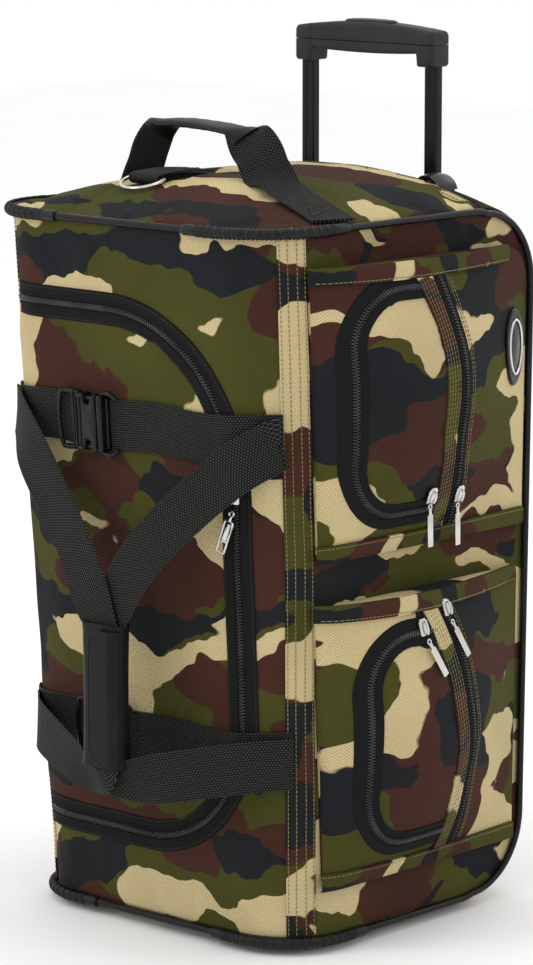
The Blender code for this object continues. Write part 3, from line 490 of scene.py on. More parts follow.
def settle(item, give, pressure=4.0, slack=0.012, protect=None):
    """Lets a sheet swell and wrinkle as cloth, held all round its edge, and moves no point more than give.

    protect(point) from 0 to 1 says how much of the movement a place may keep.
    """
    mesh = item.data
    bm = bmesh.new()
    bm.from_mesh(mesh)
    held = [v.index for v in bm.verts if v.is_boundary]
    bm.free()
    group = item.vertex_groups.new(name="held")
    group.add(held, 1.0, "REPLACE")
    start = np.array([v.co for v in mesh.vertices])
    cloth = item.modifiers.new("cloth", "CLOTH")
    settings = cloth.settings
    settings.quality = 5
    settings.mass = 0.15
    settings.tension_stiffness = settings.compression_stiffness = 12
    settings.shear_stiffness = 8
    settings.bending_stiffness = 0.6
    settings.shrink_min = -slack
    settings.use_pressure = True
    settings.uniform_pressure_force = pressure
    settings.vertex_group_mass = "held"
    settings.effector_weights.gravity = 0
    scene = bpy.context.scene
    for step in range(1, 21):
        scene.frame_set(step)
    graph = bpy.context.evaluated_depsgraph_get()
    shown = item.evaluated_get(graph)
    moved = np.array([v.co for v in shown.data.vertices]) - start
    item.modifiers.clear()
    item.vertex_groups.clear()
    scene.frame_set(1)
    length = np.linalg.norm(moved, axis=1, keepdims=True)
    moved *= give * np.tanh(length / give) / np.maximum(length, 1e-9)
    if protect:
        moved *= np.array([protect(Vector(p) - ORIGIN) for p in start])[:, None]
    mesh.vertices.foreach_set("co", (start + moved).ravel())
    mesh.update()
    return item


def dress(item, body, slot, *replaced):
    """The piece rides on a body and stands for some solids; slot is not used."""
    if body:
        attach(item, body)
    if replaced:
        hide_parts(*replaced)
    return item


def put(shape, name, finish, body, *replaced, slot=None, **how):
    """Makes a piece in one finish and dresses it; the slot it passes on, the finish's own unless another is
    given, is not used.
    """
    return dress(shape.make(name, MATERIALS[finish], **how), body, slot or SLOTS[finish], *replaced)


def bend(item, body, start, end, slot, *replaced):
    """For cloth that crosses from the bag to a moving body: bakes its placement into its mesh and hides the
    solids it stands for; body, start, end and slot are not used.
    """
    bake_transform(item)
    return dress(item, None, slot, *replaced)


def side_normal(line, i):
    """Direction across a line in (s, z): on its left, looking along it."""
    a, b = line[max(i - 1, 0)], line[min(i + 1, len(line) - 1)]
    length = math.hypot(b[0] - a[0], b[1] - a[1])
    return (-(b[1] - a[1]) / length, (b[0] - a[0]) / length)


def band(shape, line, profile, face, offset=(0, 0)):
    """Strip along a line; profile is (distance across, height) over its width."""
    rows, cloth, run = [], [], 0.0
    for i, (s, z) in enumerate(line):
        ns, nz = side_normal(line, i)
        if i:
            run += math.hypot(s - line[i - 1][0], z - line[i - 1][1])
        rows.append([face(s + ns * d, z + nz * d, off) for d, off in profile])
        cloth.append([(offset[0] + d, offset[1] + run, 0) for d, off in profile])
    shape.skin(rows, cloth)


def stitches(shape, line, face, across=0.0, off=0.0006, pitch=0.0034, length=0.0024, width=0.00075):
    """Row of thread stitches along a line, shifted across it."""
    fine = resample(line, 0.0005)
    per, reach = round(pitch / 0.0005), round(length / 0.0005)
    for i in range(2, len(fine) - reach, per):
        rows = []
        for j, lift in ((i, 0.35), (i + reach // 2, 1.0), (i + reach, 0.35)):
            s, z = fine[j]
            ns, nz = side_normal(fine, j)
            section = ((-0.5, -0.2), (-0.3, 0.8 * lift), (0.3, 0.8 * lift), (0.5, -0.2))
            row = []
            for d, h in section:
                shift = across + d * width
                row.append(face(s + ns * shift, z + nz * shift, off + h * width))
            rows.append(row)
        shape.skin(rows, closed=True, caps=True)


TAPE_PROFILE = (                        # (distance from the line, height): flat, a rib, flat, a turned edge
    (0.0004, 0.0010), (0.0030, 0.0010), (0.0036, 0.0019), (0.0046, 0.0019), (0.0052, 0.0011),
    (0.0105, 0.0010), (0.0112, 0.0014), (0.0122, 0.0013), (0.0127, 0.0003), (0.0126, -0.0006),
)
SLIM_PROFILE = (
    (0.0004, 0.0010), (0.0026, 0.0010), (0.0032, 0.0016), (0.0052, 0.0016), (0.0062, 0.0010),
    (0.0070, 0.0002),
)
TOOTH_PITCH = 0.0024


def zip_half(name, line, face, side, materials, reach=1.0, profile=TAPE_PROFILE):
    """One tape of a zip with its row of coil teeth. side is 1 on the left of the line, -1 on its right."""
    shape = Shape()
    fine = resample(line, 0.003)
    band(shape, fine, [(side * d * reach, h) for d, h in profile], face)
    steps = resample(line, TOOTH_PITCH / 4)
    offset = 0 if side > 0 else 2
    for i in range(2 + offset, len(steps) - 3, 4):
        rows = []
        for d, h, ahead, r in ((-0.0006, 0.0016, 0, 0.00045), (0.0004, 0.0022, 0, 0.0006),
                               (0.0017, 0.0019, 1, 0.0006), (0.0026, 0.0010, 1, 0.0005)):
            s, z = steps[i + ahead]
            ns, nz = side_normal(steps, i + ahead)
            centre = face(s + side * ns * d, z + side * nz * d, h)
            up = (face(s, z, h + 0.001) - face(s, z, h)).normalized()
            along = (face(*steps[i + ahead + 1], h) - face(*steps[i + ahead - 1], h)).normalized()
            rows.append([centre + r * (math.cos(a) * along + math.sin(a) * up)
                         for a in (math.pi / 3 * k for k in range(6))])
        shape.skin(rows, closed=True, caps=True, slot=1)
    return shape.make(name, materials, sharp=50)


def mirrored(profile):
    """A profile and its mirror image, which share the middle point if it lies on the middle line."""
    middle = 1 if profile[-1][0] == 0 else 0
    return profile + [(-x, h) for x, h in reversed(profile[:len(profile) - middle])]


def smooth_path(points, steps=8):
    """Catmull-Rom curve through the points."""
    points = [Vector(p) for p in points]
    ends = [2 * points[0] - points[1]] + points + [2 * points[-1] - points[-2]]
    path = []
    for i in range(1, len(ends) - 2):
        a, b, c, d = ends[i - 1:i + 3]
        for k in range(steps):
            t = k / steps
            path.append(0.5 * (2 * b + (c - a) * t + (2 * a - 5 * b + 4 * c - d) * t * t
                               + (3 * b - a - 3 * c + d) * t ** 3))
    return path + [points[-1]]


def webbing_section(width, thickness):
    """Closed section of a woven strap: (across, height), with soft edges and a slightly raised selvedge."""
    half, edge = width / 2, 0.0016
    top = [(-half + edge * 0.3, 0.85), (-half + edge, 1.0), (-half + edge * 2.2, 0.92)]
    section = mirrored([(x, h * thickness) for x, h in top] + [(0, 0.96 * thickness)])
    section += [(half, 0.5 * thickness), (half - edge, 0.0), (0, 0.0), (-half + edge, 0.0),
                (-half, 0.5 * thickness)]
    return section


def ribbon(shape, path, out, width, thickness=STRAP_T):
    """Webbing along a path; out(t) is its face's direction and width(t) its width, t from 0 to 1."""
    rows, cloth, run, last = [], [], 0.0, len(path) - 1
    for i, point in enumerate(path):
        t = i / last
        along = (path[min(i + 1, last)] - path[max(i - 1, 0)]).normalized()
        across = along.cross(out(t)).normalized()
        face = across.cross(along).normalized()
        section = webbing_section(width(t), thickness)
        rows.append([point + across * x + face * h for x, h in section])
        if i:
            run += (point - path[i - 1]).length
        cloth.append([(x * STRAP_W / width(t), run, h) for x, h in section])
    shape.skin(rows, cloth, closed=True, caps=True)


# ---------------------------------------------------------------- materials

def linear(*colour):
    """Colour in 0-255 as the eye names it, to the shader's own scale."""
    shares = [c / 255 for c in colour]
    return (*(c / 12.92 if c < 0.04045 else ((c + 0.055) / 1.055) ** 2.4 for c in shares), 1.0)


SOCKETS = {"specular_ior_level": "Specular IOR Level"}


class Finish:
    """One node material, with short ways to add its nodes."""

    def __init__(self, name, roughness=0.6, metallic=0.0, **sockets):
        self.material = bpy.data.materials.new(name)
        self.material.use_nodes = True
        self.tree = self.material.node_tree
        self.shader = self.tree.nodes["Principled BSDF"]
        self.shader.inputs["Roughness"].default_value = roughness
        self.shader.inputs["Metallic"].default_value = metallic
        for key, value in sockets.items():
            self.shader.inputs[SOCKETS[key]].default_value = value

    def node(self, kind, inputs=None, **settings):
        item = self.tree.nodes.new("ShaderNode" + kind)
        for key, value in settings.items():
            setattr(item, key, value)
        for key, value in (inputs or {}).items():
            self.put(value, item.inputs[key])
        return item

    def put(self, value, socket):
        if isinstance(value, bpy.types.NodeSocket):
            self.tree.links.new(value, socket)
        else:
            socket.default_value = value

    def math(self, operation, a, b=0.0, c=0.0):
        return self.node("Math", {0: a, 1: b, 2: c}, operation=operation).outputs[0]

    def mix(self, factor, a, b):
        item = self.node("Mix", {0: factor, 6: a, 7: b}, data_type="RGBA")
        return item.outputs[2]

    def step(self, value, low, high, to_low=0.0, to_high=1.0):
        inputs = {"Value": value, "From Min": low, "From Max": high, "To Min": to_low,
                  "To Max": to_high}
        return self.node("MapRange", inputs).outputs[0]

    def noise(self, vector, scale, detail=2.0, roughness=0.5, distortion=0.0):
        inputs = {"Vector": vector, "Scale": scale, "Detail": detail, "Roughness": roughness,
                  "Distortion": distortion}
        return self.node("TexNoise", inputs).outputs[0]

    def scaled(self, vector, size, shift=(0, 0, 0)):
        inputs = {"Vector": vector, "Scale": size, "Location": shift}
        return self.node("Mapping", inputs).outputs[0]

    def cloth(self):
        return self.node("Attribute", attribute_name="cloth").outputs["Vector"]

    def place(self):
        return self.node("TexCoord").outputs["Object"]

    def bump(self, height, distance, strength=1.0):
        inputs = {"Height": height, "Distance": distance, "Strength": strength}
        self.put(self.node("Bump", inputs).outputs[0], self.shader.inputs["Normal"])

    def colour(self, value):
        self.put(value, self.shader.inputs["Base Color"])
        return self

    def rough(self, value):
        self.put(value, self.shader.inputs["Roughness"])
        return self


def twill(finish, vector, pitch):
    """Height of a fine diagonal weave, 0 to 1."""
    parts = finish.node("SeparateXYZ", {0: vector}).outputs
    turn = 2 * math.pi / pitch
    first = finish.math("SINE", finish.math("MULTIPLY", parts[0], turn))
    second = finish.math("SINE", finish.math("MULTIPLY", parts[1], turn))
    product = finish.math("MULTIPLY", first, second)
    return finish.math("MULTIPLY_ADD", product, 0.5, 0.5)


TAN, GREEN = linear(187, 170, 127), linear(64, 64, 24)
BROWN, NAVY = linear(63, 36, 28), linear(27, 29, 32)


def camo():
    """Printed four-colour woodland cloth: interlocking lobed blots, wider than tall, over a twill, with the
    shade of soft folds painted into its colour.
    """
    finish = Finish("camo_fabric", 0.85, specular_ior_level=0.14)
    cloth = finish.cloth()
    warped = cloth
    for scale, size in ((26.0, 0.040), (62.0, 0.0120)):
        warp = finish.node("TexNoise", {"Vector": cloth, "Scale": scale, "Detail": 1.0, "Roughness": 0.5})
        around = {0: warp.outputs["Color"], 1: (0.5, 0.5, 0.5)}
        centred = finish.node("VectorMath", around, operation="SUBTRACT")
        push = finish.node("VectorMath", {0: centred.outputs[0], "Scale": size}, operation="SCALE")
        warped = finish.node("VectorMath", {0: warped, 1: push.outputs[0]}, operation="ADD").outputs[0]

    def blots(shift, size, threshold):
        field = finish.noise(finish.scaled(warped, size, shift), 1.0, 0.6, 0.4, 0.3)
        return finish.step(field, threshold - 0.003, threshold + 0.003)

    colour = finish.mix(blots((7, 2, 5), (7.6, 14.5, 1), 0.497), GREEN, BROWN)
    colour = finish.mix(blots((1, 5, 8), (9.0, 18.0, 1), 0.574), colour, NAVY)
    colour = finish.mix(blots((3, 9, 1), (8.4, 19.0, 1), 0.576), colour, TAN)
    weave = twill(finish, cloth, 0.0024)
    thread = finish.noise(finish.scaled(cloth, (1000, 1000, 1)), 1.0, 0.0)
    # painted shade: a broad noise that darkens and lightens the cloth in soft patches, like the shade of
    # folds
    painted_fold_shade = finish.noise(cloth, 12.0, 2.0)
    light = finish.math("MULTIPLY_ADD", weave, 0.50, 0.74)
    light = finish.math("MULTIPLY", light, finish.step(thread, 0.3, 0.7, 0.90, 1.12))
    # the painted fold shade is multiplied into the colour here
    light = finish.math("MULTIPLY", light, finish.step(painted_fold_shade, 0.3, 0.7, 0.90, 1.10))
    toned = finish.node("HueSaturation", {"Color": colour, "Value": light}).outputs[0]
    finish.colour(toned)
    finish.rough(finish.step(thread, 0.3, 0.7, 0.78, 0.95))
    height = finish.math("MULTIPLY_ADD", thread, 0.4, weave)
    finish.bump(height, 0.0003, 0.8)
    return finish.material


def webbing():
    """Coarse basket weave of small oval knots in rows across the strap, each knot's top painted lighter as
    a highlight.
    """
    finish = Finish("webbing", 0.7, specular_ior_level=0.12)
    parts = finish.node("SeparateXYZ", {0: finish.cloth()}).outputs
    column = finish.math("DIVIDE", parts[0], 0.0018)
    shift = finish.math("MULTIPLY", finish.math("FLOOR", column), 0.5)
    row = finish.math("ADD", finish.math("DIVIDE", parts[1], 0.0025), shift)
    across = finish.math("ABSOLUTE", finish.math("SINE", finish.math("MULTIPLY", column, math.pi)))
    along = finish.math("ABSOLUTE", finish.math("SINE", finish.math("MULTIPLY", row, math.pi)))
    knot = finish.math("POWER", finish.math("MULTIPLY", across, along), 0.8)
    fibre = finish.noise(finish.place(), 1600.0, 1.0)
    worn = finish.noise(finish.place(), 30.0, 2.0)
    dark = finish.mix(worn, linear(7, 7, 7), linear(11, 11, 11))
    # lighter colour of the painted highlight on the knots' tops
    light = finish.mix(fibre, linear(44, 44, 42), linear(80, 80, 77))
    # painted highlight: knot tops take the lighter colour, and the hollows between knots take the darker
    # one
    finish.colour(finish.mix(finish.step(knot, 0.35, 0.95), dark, light))
    finish.rough(finish.step(fibre, 0.3, 0.7, 0.55, 0.8))
    finish.bump(knot, 0.0007)
    return finish.material


def tape():
    """Woven zip tape: fine ribs along it, a little fuzzy."""
    finish = Finish("zip_tape", 0.85, specular_ior_level=0.10)
    weave = twill(finish, finish.cloth(), 0.0016)
    fuzz = finish.noise(finish.place(), 1300.0, 2.0)
    tone = finish.math("MULTIPLY_ADD", weave, 0.5, finish.math("MULTIPLY", fuzz, 0.5))
    finish.colour(finish.mix(tone, linear(10, 10, 11), linear(34, 34, 35)))
    finish.rough(finish.step(fuzz, 0.3, 0.7, 0.75, 0.95))
    finish.bump(tone, 0.00025)
    return finish.material


def lining():
    """Thin dark grey coated cloth inside the bag, with painted shade in the hollows of its creases and
    painted highlight on their ridges.
    """
    finish = Finish("lining", 0.6)
    place = finish.place()
    weave = finish.noise(place, 900.0, 1.0)
    crease = finish.noise(place, 26.0, 4.0, 0.6, 0.8)
    # painted shade and highlight: the tone follows the crease noise, so hollows come out darker and ridges
    # lighter
    tone = finish.math("MULTIPLY_ADD", crease, 0.6, finish.math("MULTIPLY", weave, 0.4))
    finish.colour(finish.mix(tone, linear(34, 35, 38), linear(62, 63, 67)))
    finish.rough(finish.step(crease, 0.3, 0.7, 0.5, 0.75))
    finish.bump(crease, 0.0012, 0.6)
    return finish.material


def grained(name, dark, light, roughness, scale, depth, **sockets):
    """Moulded plastic, rubber or leatherette: a fine grain, uneven gloss and worn lighter patches."""
    finish = Finish(name, roughness, **sockets)
    place = finish.place()
    grain = finish.node("TexVoronoi", {"Vector": place, "Scale": scale}).outputs["Distance"]
    fine = finish.noise(place, scale * 0.7, 2.0)
    worn = finish.noise(place, 35.0, 3.0, 0.6)
    tone = finish.step(worn, 0.4, 0.75)
    finish.colour(finish.mix(tone, linear(*dark), linear(*light)))
    finish.rough(finish.step(worn, 0.3, 0.7, roughness - 0.08, roughness + 0.10))
    finish.bump(finish.math("ADD", grain, fine), depth, 0.7)
    return finish.material


def metal(name, light, roughness, brushed=(60, 60, 60)):
    """Plated or painted metal with faint smears and fine lines."""
    finish = Finish(name, roughness, 1.0)
    place = finish.place()
    lines = finish.noise(finish.scaled(place, brushed), 8.0, 3.0)
    smear = finish.noise(place, 45.0, 3.0)
    dim = tuple(c * 0.8 for c in light)
    finish.colour(finish.mix(smear, linear(*dim), linear(*light)))
    finish.rough(finish.step(lines, 0.3, 0.7, roughness * 0.7, roughness * 1.5))
    finish.bump(lines, 0.00004, 0.4)
    return finish.material


def painted_tube():
    """Black anodised tube: satin, with faint scratches along it."""
    finish = Finish("handle_tube", 0.30, specular_ior_level=0.22)
    place = finish.place()
    lines = finish.noise(finish.scaled(place, (900, 900, 14)), 1.0, 3.0)
    smear = finish.noise(place, 30.0, 2.0)
    finish.colour(finish.mix(finish.step(lines, 0.6, 0.8), linear(9, 8, 7), linear(30, 28, 25)))
    finish.rough(finish.step(smear, 0.3, 0.7, 0.24, 0.42))
    finish.bump(lines, 0.00005, 0.5)
    return finish.material


def thread():
    """Twisted khaki sewing thread."""
    finish = Finish("khaki_thread", 0.6)
    place = finish.place()
    twist = finish.noise(place, 2200.0, 1.0)
    stretch = finish.noise(place, 60.0, 1.0)
    tone = finish.math("MULTIPLY_ADD", stretch, 0.6, finish.math("MULTIPLY", twist, 0.4))
    finish.colour(finish.mix(tone, linear(88, 82, 44), linear(150, 140, 92)))
    finish.bump(twist, 0.0001)
    return finish.material


MATERIALS = dict(
    camo=camo(), lining=lining(), webbing=webbing(), tape=tape(), thread=thread(), tube=painted_tube(),
    coil=grained("zip_coil", (20, 20, 21), (58, 58, 60), 0.24, 900.0, 0.00003),
    leather=grained("leatherette", (13, 13, 13), (24, 24, 24), 0.44, 1100.0, 0.00016,
                    specular_ior_level=0.16),
    gloss_leather=grained("gloss_leatherette", (6, 6, 6), (16, 16, 16), 0.20, 700.0, 0.00016,
                          specular_ior_level=0.4),
    piping=grained("piping", (12, 12, 12), (26, 26, 26), 0.38, 1300.0, 0.0001, specular_ior_level=0.2),
    rubber=grained("corner_rubber", (13, 13, 14), (28, 28, 29), 0.40, 1500.0, 0.0001,
                   specular_ior_level=0.24),
    plastic=grained("black_plastic", (8, 8, 9), (20, 20, 21), 0.28, 1700.0, 0.00006,
                    specular_ior_level=0.26),
    grip=grained("grip_plastic", (40, 41, 42), (50, 51, 52), 0.46, 1500.0, 0.00012,
                 specular_ior_level=0.14),
    tyre=grained("tyre_rubber", (24, 24, 25), (52, 51, 48), 0.78, 900.0, 0.00020,
                 specular_ior_level=0.3),
    wheel=grained("wheel_plastic", (30, 31, 33), (50, 51, 53), 0.45, 1300.0, 0.00008),
    board=grained("stiffener_board", (66, 67, 68), (90, 91, 92), 0.62, 500.0, 0.0002),
    black_thread=grained("black_thread", (18, 18, 18), (46, 46, 46), 0.6, 2400.0, 0.0001),
    chrome=metal("chrome_metal", (226, 224, 218), 0.16),
    steel=metal("steel", (176, 176, 174), 0.32, (400, 40, 40)),
)
SLOTS = dict(
    camo="camo_fabric", thread="camo_fabric", webbing="webbing", leather="leatherette",
    gloss_leather="leatherette", piping="trim_rubber", rubber="trim_rubber", plastic="black_plastic",
    tube="handle_tube", grip="grip_plastic", tyre="wheel_tyre", wheel="wheel_plastic",
    chrome="chrome_metal", steel="steel",
)
FABRIC = [MATERIALS["camo"], MATERIALS["lining"]]
ZIP = [MATERIALS["tape"], MATERIALS["coil"]]


# ---------------------------------------------------------------- fabric panels

def cloth_rows(domain, shift):
    """Cloth coordinates of rows of (s, z), from a place on the printed roll."""
    return [[(s + shift[0], z + shift[1], 0) for s, z in row] for row in domain]


def panel(name, domain, face, shift, off=0.0, closed=False):
    """Sheet of printed cloth over rows of (s, z)."""
    shape = Shape()
    shape.skin([[face(s, z, off) for s, z in row] for row in domain], cloth_rows(domain, shift),
               closed=closed)
    return shape.make(name, FABRIC, outward=True)


def rings(inner, outer, count):
    """Rows of (s, z) from one closed outline to another."""
    return [[(between(k / count, a[0], b[0]), between(k / count, a[1], b[1]))
             for a, b in zip(inner, outer)] for k in range(count + 1)]


PRINT = {                               # where on the roll each panel was cut
    "front": (0.00, 0.00), "lid": (0.07, 0.015), "right": (0.62, 0.31), "left": (1.40, 0.20),
    "top": (2.10, 0.90), "back": (2.90, 0.40), "bottom": (3.70, 0.10), "pocket_upper": (4.30, 0.72),
    "pocket_lower": (5.10, 0.33), "door_upper": (4.31, 0.715), "door_lower": (5.12, 0.325),
    "strip": (6.00, 0.15), "binding": (6.70, 0.80),
}


def puckers(s, z, low, high, size):
    """Upright folds of slack cloth between two heights, clear of the seams at the sides."""
    up = clamped((z - low) / (high - low))
    beside = eased((abs(abs(s) - SEAM_S) - 0.012) / 0.025)
    folds = noise.noise(Vector((s * 36, z * 8, 40.0)))
    creases = noise.noise(Vector((s * 80 + z * 30, z * 14, 50.0)))
    return size * math.sin(math.pi * up) * beside * (folds + 0.45 * creases)


def front_panel():
    """Fabric round the lid's opening, puckered above and below the zip."""
    outer = rectangle((-SEAM_S, SEAM_S), (BOTTOM_Z, TOP_Z), (0.001,) * 4)
    domain = rings(lid_outline(0.004), outer, 22)

    def face(s, z, off=0.0):
        above = puckers(s, z, ZIP_TOP_Z + 0.013, TOP_Z - 0.004, 0.0046)
        below = puckers(s, z, BOTTOM_Z + 0.005, ZIP_BOTTOM_Z - 0.013, 0.0040)
        return body_face(s, z, off + above + below)

    item = panel("front_fabric", domain, face, PRINT["front"], closed=True)
    dress(thicken(item), "bag", "camo_fabric", "front_panel")


def lid_surface(s, z, off=0.0):
    """The lid's fabric stands a little proud of the body inside its zip."""
    inside = min(right_edge(z, 0) - s, z - ZIP_BOTTOM_Z, ZIP_TOP_Z - z)
    return body_face(s, z, off + 0.0010 * eased((inside - 0.010) / 0.02))


def lid_panel():
    low, high, left = ZIP_BOTTOM_Z + LID_INSET, ZIP_TOP_Z - LID_INSET, HINGE_S - 0.0065
    domain = []
    for i in range(91):
        z = crowded(i / 90, low, high)
        domain.append([(s, z) for s in spread(left, right_edge(z, -LID_INSET), 60)])
    shape = Shape()

    def lie(s, z):
        over_hinge = 0.0012 * (1 - eased((s - left) / 0.010))
        return lid_surface(s, z, over_hinge)

    shape.skin([[lie(s, z) for s, z in row] for row in domain], cloth_rows(domain, PRINT["lid"]))
    item = shape.make("lid_fabric", FABRIC, outward=True)

    def free(point):
        strap = min(abs(point.z - z) for z in STRAP_Z.values())
        inside = min(point.z - low, high - point.z, right_edge(point.z, -LID_INSET) - point.x)
        return 0.25 + 0.75 * eased((strap - 0.026) / 0.02) * eased((inside - 0.008) / 0.02)

    settle(item, 0.0035, protect=free)
    thicken(item)
    return item


def hinge_points(z=0.28):
    return wrap(HINGE_S - 0.004, z), wrap(HINGE_S + 0.004, z)


def lid_pieces():
    """Lid fabric and both halves of its zip, with a row of stitches beside each."""
    bend(lid_panel(), "lid", *hinge_points(), "camo_fabric", "lid_panel")
    line = lid_line()
    outer = zip_half("lid_zip_outer_tape", line, body_face, 1, ZIP)
    dress(outer, "bag", "zip_tape", "lid_zip_outer")
    inner = zip_half("lid_zip_inner_tape", line, body_face, -1, ZIP)
    dress(inner, "lid", "zip_tape", "lid_zip_inner")
    for end, side, body in (("outer", 1, "bag"), ("inner", -1, "lid")):
        shape = Shape()
        stitches(shape, line, body_face, across=side * 0.0108, off=0.0013, width=0.0006)
        put(shape, "lid_zip_stitching_" + end, "black_thread", body, slot="zip_tape")


def side_rows(count=96, across=56):
    """Rows of a side panel, which ends in two round back corners."""
    domain = []
    for i in range(count + 1):
        z = crowded(i / count, BOTTOM_Z, TOP_Z)
        rise = max(0.0, z - (TOP_Z - END_R), BOTTOM_Z + END_R - z)
        end = END_S - END_R + math.sqrt(max(0.0, END_R ** 2 - rise ** 2))
        domain.append([(s, z) for s in spread(SEAM_S, end, across)])
    return domain


def side_panels():
    """Pocket-side and plain-side fabric."""
    def right_face(s, z, off=0.0):
        top = POCKETS["upper"]["z"][1]
        return body_face(s, z, off + puckers(s, z, top, TOP_Z - 0.001, 0.0040))

    right = panel("side_fabric_right", side_rows(), right_face, PRINT["right"])
    dress(thicken(right), "bag", "camo_fabric", "side_panel_right")
    left = panel("side_fabric_left", side_rows(), left_face, PRINT["left"])

    def free(point):
        return eased((point.z - BOTTOM_Z) / 0.05) * eased((TOP_Z - point.z) / 0.05)

    settle(left, 0.006, slack=0.02, protect=free)
    dress(thicken(left), "bag", "camo_fabric", "side_panel_left")


def seam_strips():
    """Folded strip over each upright seam, sewn down with four rows of thread."""
    half, edge = 0.0112, 0.0010
    profile = mirrored([(-half, 0.0002), (-half, 0.0012), (-half + edge, 0.0017), (-half / 2, 0.0014),
                        (0, 0.0017)])
    ends = [(SEAM_S + 0.0015, TOP_Z - 0.001), (SEAM_S, 0.30), (SEAM_S - 0.008, BOTTOM_Z + 0.001)]
    line = resample(ends, 0.006)
    for side, face in (("right", body_face), ("left", left_face)):
        strip = Shape()
        band(strip, line, profile, face, offset=PRINT["strip"])
        put(strip, "seam_strip_" + side, "camo", "bag", outward=True)
        sewn = Shape()
        for across in (-0.0096, -0.0036, 0.0036, 0.0096):
            stitches(sewn, line, face, across=across, off=0.0016)
        put(sewn, "seam_stitching_" + side, "thread", "bag")


def end_rows(back_y, count=40, across=44):
    """Rows of the top or bottom end in (x, y), with the two rounded front corners."""
    domain = []
    for i in range(count + 1):
        y = crowded(0.04 + 0.96 * i / count, front_y(TOP_Z), back_y)
        from_front = y - front_y(TOP_Z)
        turn = max(0.0, CORNER_R - from_front)
        half = HALF_WIDTH[1] - CORNER_R + math.sqrt(max(0.0, CORNER_R ** 2 - turn ** 2)) - 0.0005
        domain.append([(x, y) for x in spread(-half, half, across)])
    return domain


def top_panel():
    def face(x, y, off):
        return top_face(x, y, off + rumple(x, y, 0.0016, 12.0))

    back_y = BACK_Y - END_R + 0.002
    item = panel("top_fabric", end_rows(back_y), face, PRINT["top"])

    def free(point):
        hardware = abs(point.x + 0.040) < 0.03 and point.y < -0.03
        foot = abs(point.y + 0.052 + point.x * 0.26) < 0.035 and abs(point.x) > 0.07
        return 0.1 if hardware or foot else 1.0

    settle(item, 0.003, slack=0.02, protect=free)
    dress(thicken(item), "bag", "camo_fabric", "top_end_panel")


def back_rows():
    """Rows over the back: the top back corner, the flat back and the lower back corner."""
    centre_y, r = BACK_Y - END_R, END_R + 0.0046
    rows = []
    for k in range(13):
        rows.append((math.pi / 2 * k / 12, TOP_Z - END_R, 1 - k / 12))
    for k in range(1, 40):
        rows.append((math.pi / 2, between(k / 40, TOP_Z - END_R, BOTTOM_Z + END_R), 0.0))
    for k in range(13):
        rows.append((math.pi / 2 * (1 + k / 12), BOTTOM_Z + END_R, 0.0))
    return centre_y, r, rows


def back_panel():
    """Back of the bag with openings for the posts and wheels, and the strip over its top seam."""
    centre_y, r, rows = back_rows()
    posts = [POST_X - POST_HOLE, POST_X + POST_HOLE]
    wells = [WHEEL_X - HOUSING_W / 2, WHEEL_X + HOUSING_W / 2]
    inner = sorted(posts + wells + [0.0, 0.020, 0.035, 0.057, 0.100, 0.120])
    columns = [-1.0] + [-c for c in reversed(inner) if c] + inner + [1.0]
    points, cloth, run = [], [], 0.0
    for turn, centre_z, rise in rows:
        line, coords = [], []
        z = centre_z + r * math.cos(turn)
        edge = half_width(min(max(z, BOTTOM_Z), TOP_Z)) - 0.001
        for c in columns:
            x = math.copysign(edge, c) if abs(c) == 1.0 else c
            lift = crown(x, centre_y) * rise
            swell = 0.0022 * math.sin(math.pi * share(z)) * (1 - (x / edge) ** 2) if rise == 0 else 0.0
            reach = r + lift + swell + rumple(x, z, 0.0012, 20.0) * (1 - abs(x / edge))
            y = centre_y + reach * math.sin(turn)
            line.append(Vector((x, y, centre_z + reach * math.cos(turn))))
            coords.append(c)
        if points:
            run += (line[len(line) // 2] - points[-1][len(line) // 2]).length
        points.append(line)
        cloth.append([(p.x + PRINT["back"][0], PRINT["back"][1] - run, 0) for p in line])

    def cut_out(i, k):
        x = (points[i][k].x + points[i][k + 1].x) / 2
        z = (points[i][k].z + points[i + 1][k].z) / 2
        y = (points[i][k].y + points[i + 1][k].y) / 2
        at_post = abs(abs(x) - POST_X) < POST_HOLE and abs(y - POST_Y) < 0.013 and z > 0.3
        at_wheel = abs(abs(x) - WHEEL_X) < HOUSING_W / 2 and z < WELL_TOP
        return at_post or at_wheel

    shape = Shape()
    shape.skin(points, cloth, skip=cut_out)
    item = shape.make("back_fabric", FABRIC, outward=True)
    dress(thicken(item), "bag", "camo_fabric", "back_panel")
    seam = Shape()
    strip = resample([(-0.138, 0.0720), (0.138, 0.0720)], 0.006)
    band(seam, strip, [(-0.0060, 0.0), (-0.0056, 0.0011), (0, 0.0015), (0.0056, 0.0011), (0.0060, 0.0)],
         top_face, offset=(0.3, 1.2))
    put(seam, "top_seam_strip", "camo", "bag", outward=True)
    sewn = Shape()
    for across in (-0.0042, 0.0030):
        stitches(sewn, strip, top_face, across=across, off=0.0016, width=0.0009)
    put(sewn, "top_seam_stitching", "thread", "bag")


def bottom_panel():
    def face(x, y, off):
        return Vector((x * HALF_WIDTH[0] / HALF_WIDTH[1], y + lean, 0.0112 + off))

    lean = FRONT_Y[0] - FRONT_Y[1]
    back_y = BACK_Y - END_R - lean
    item = panel("bottom_fabric", end_rows(back_y, 24, 30), face, PRINT["bottom"])
    dress(thicken(item, 0.0025), "bag", "camo_fabric", "bottom_end_panel")


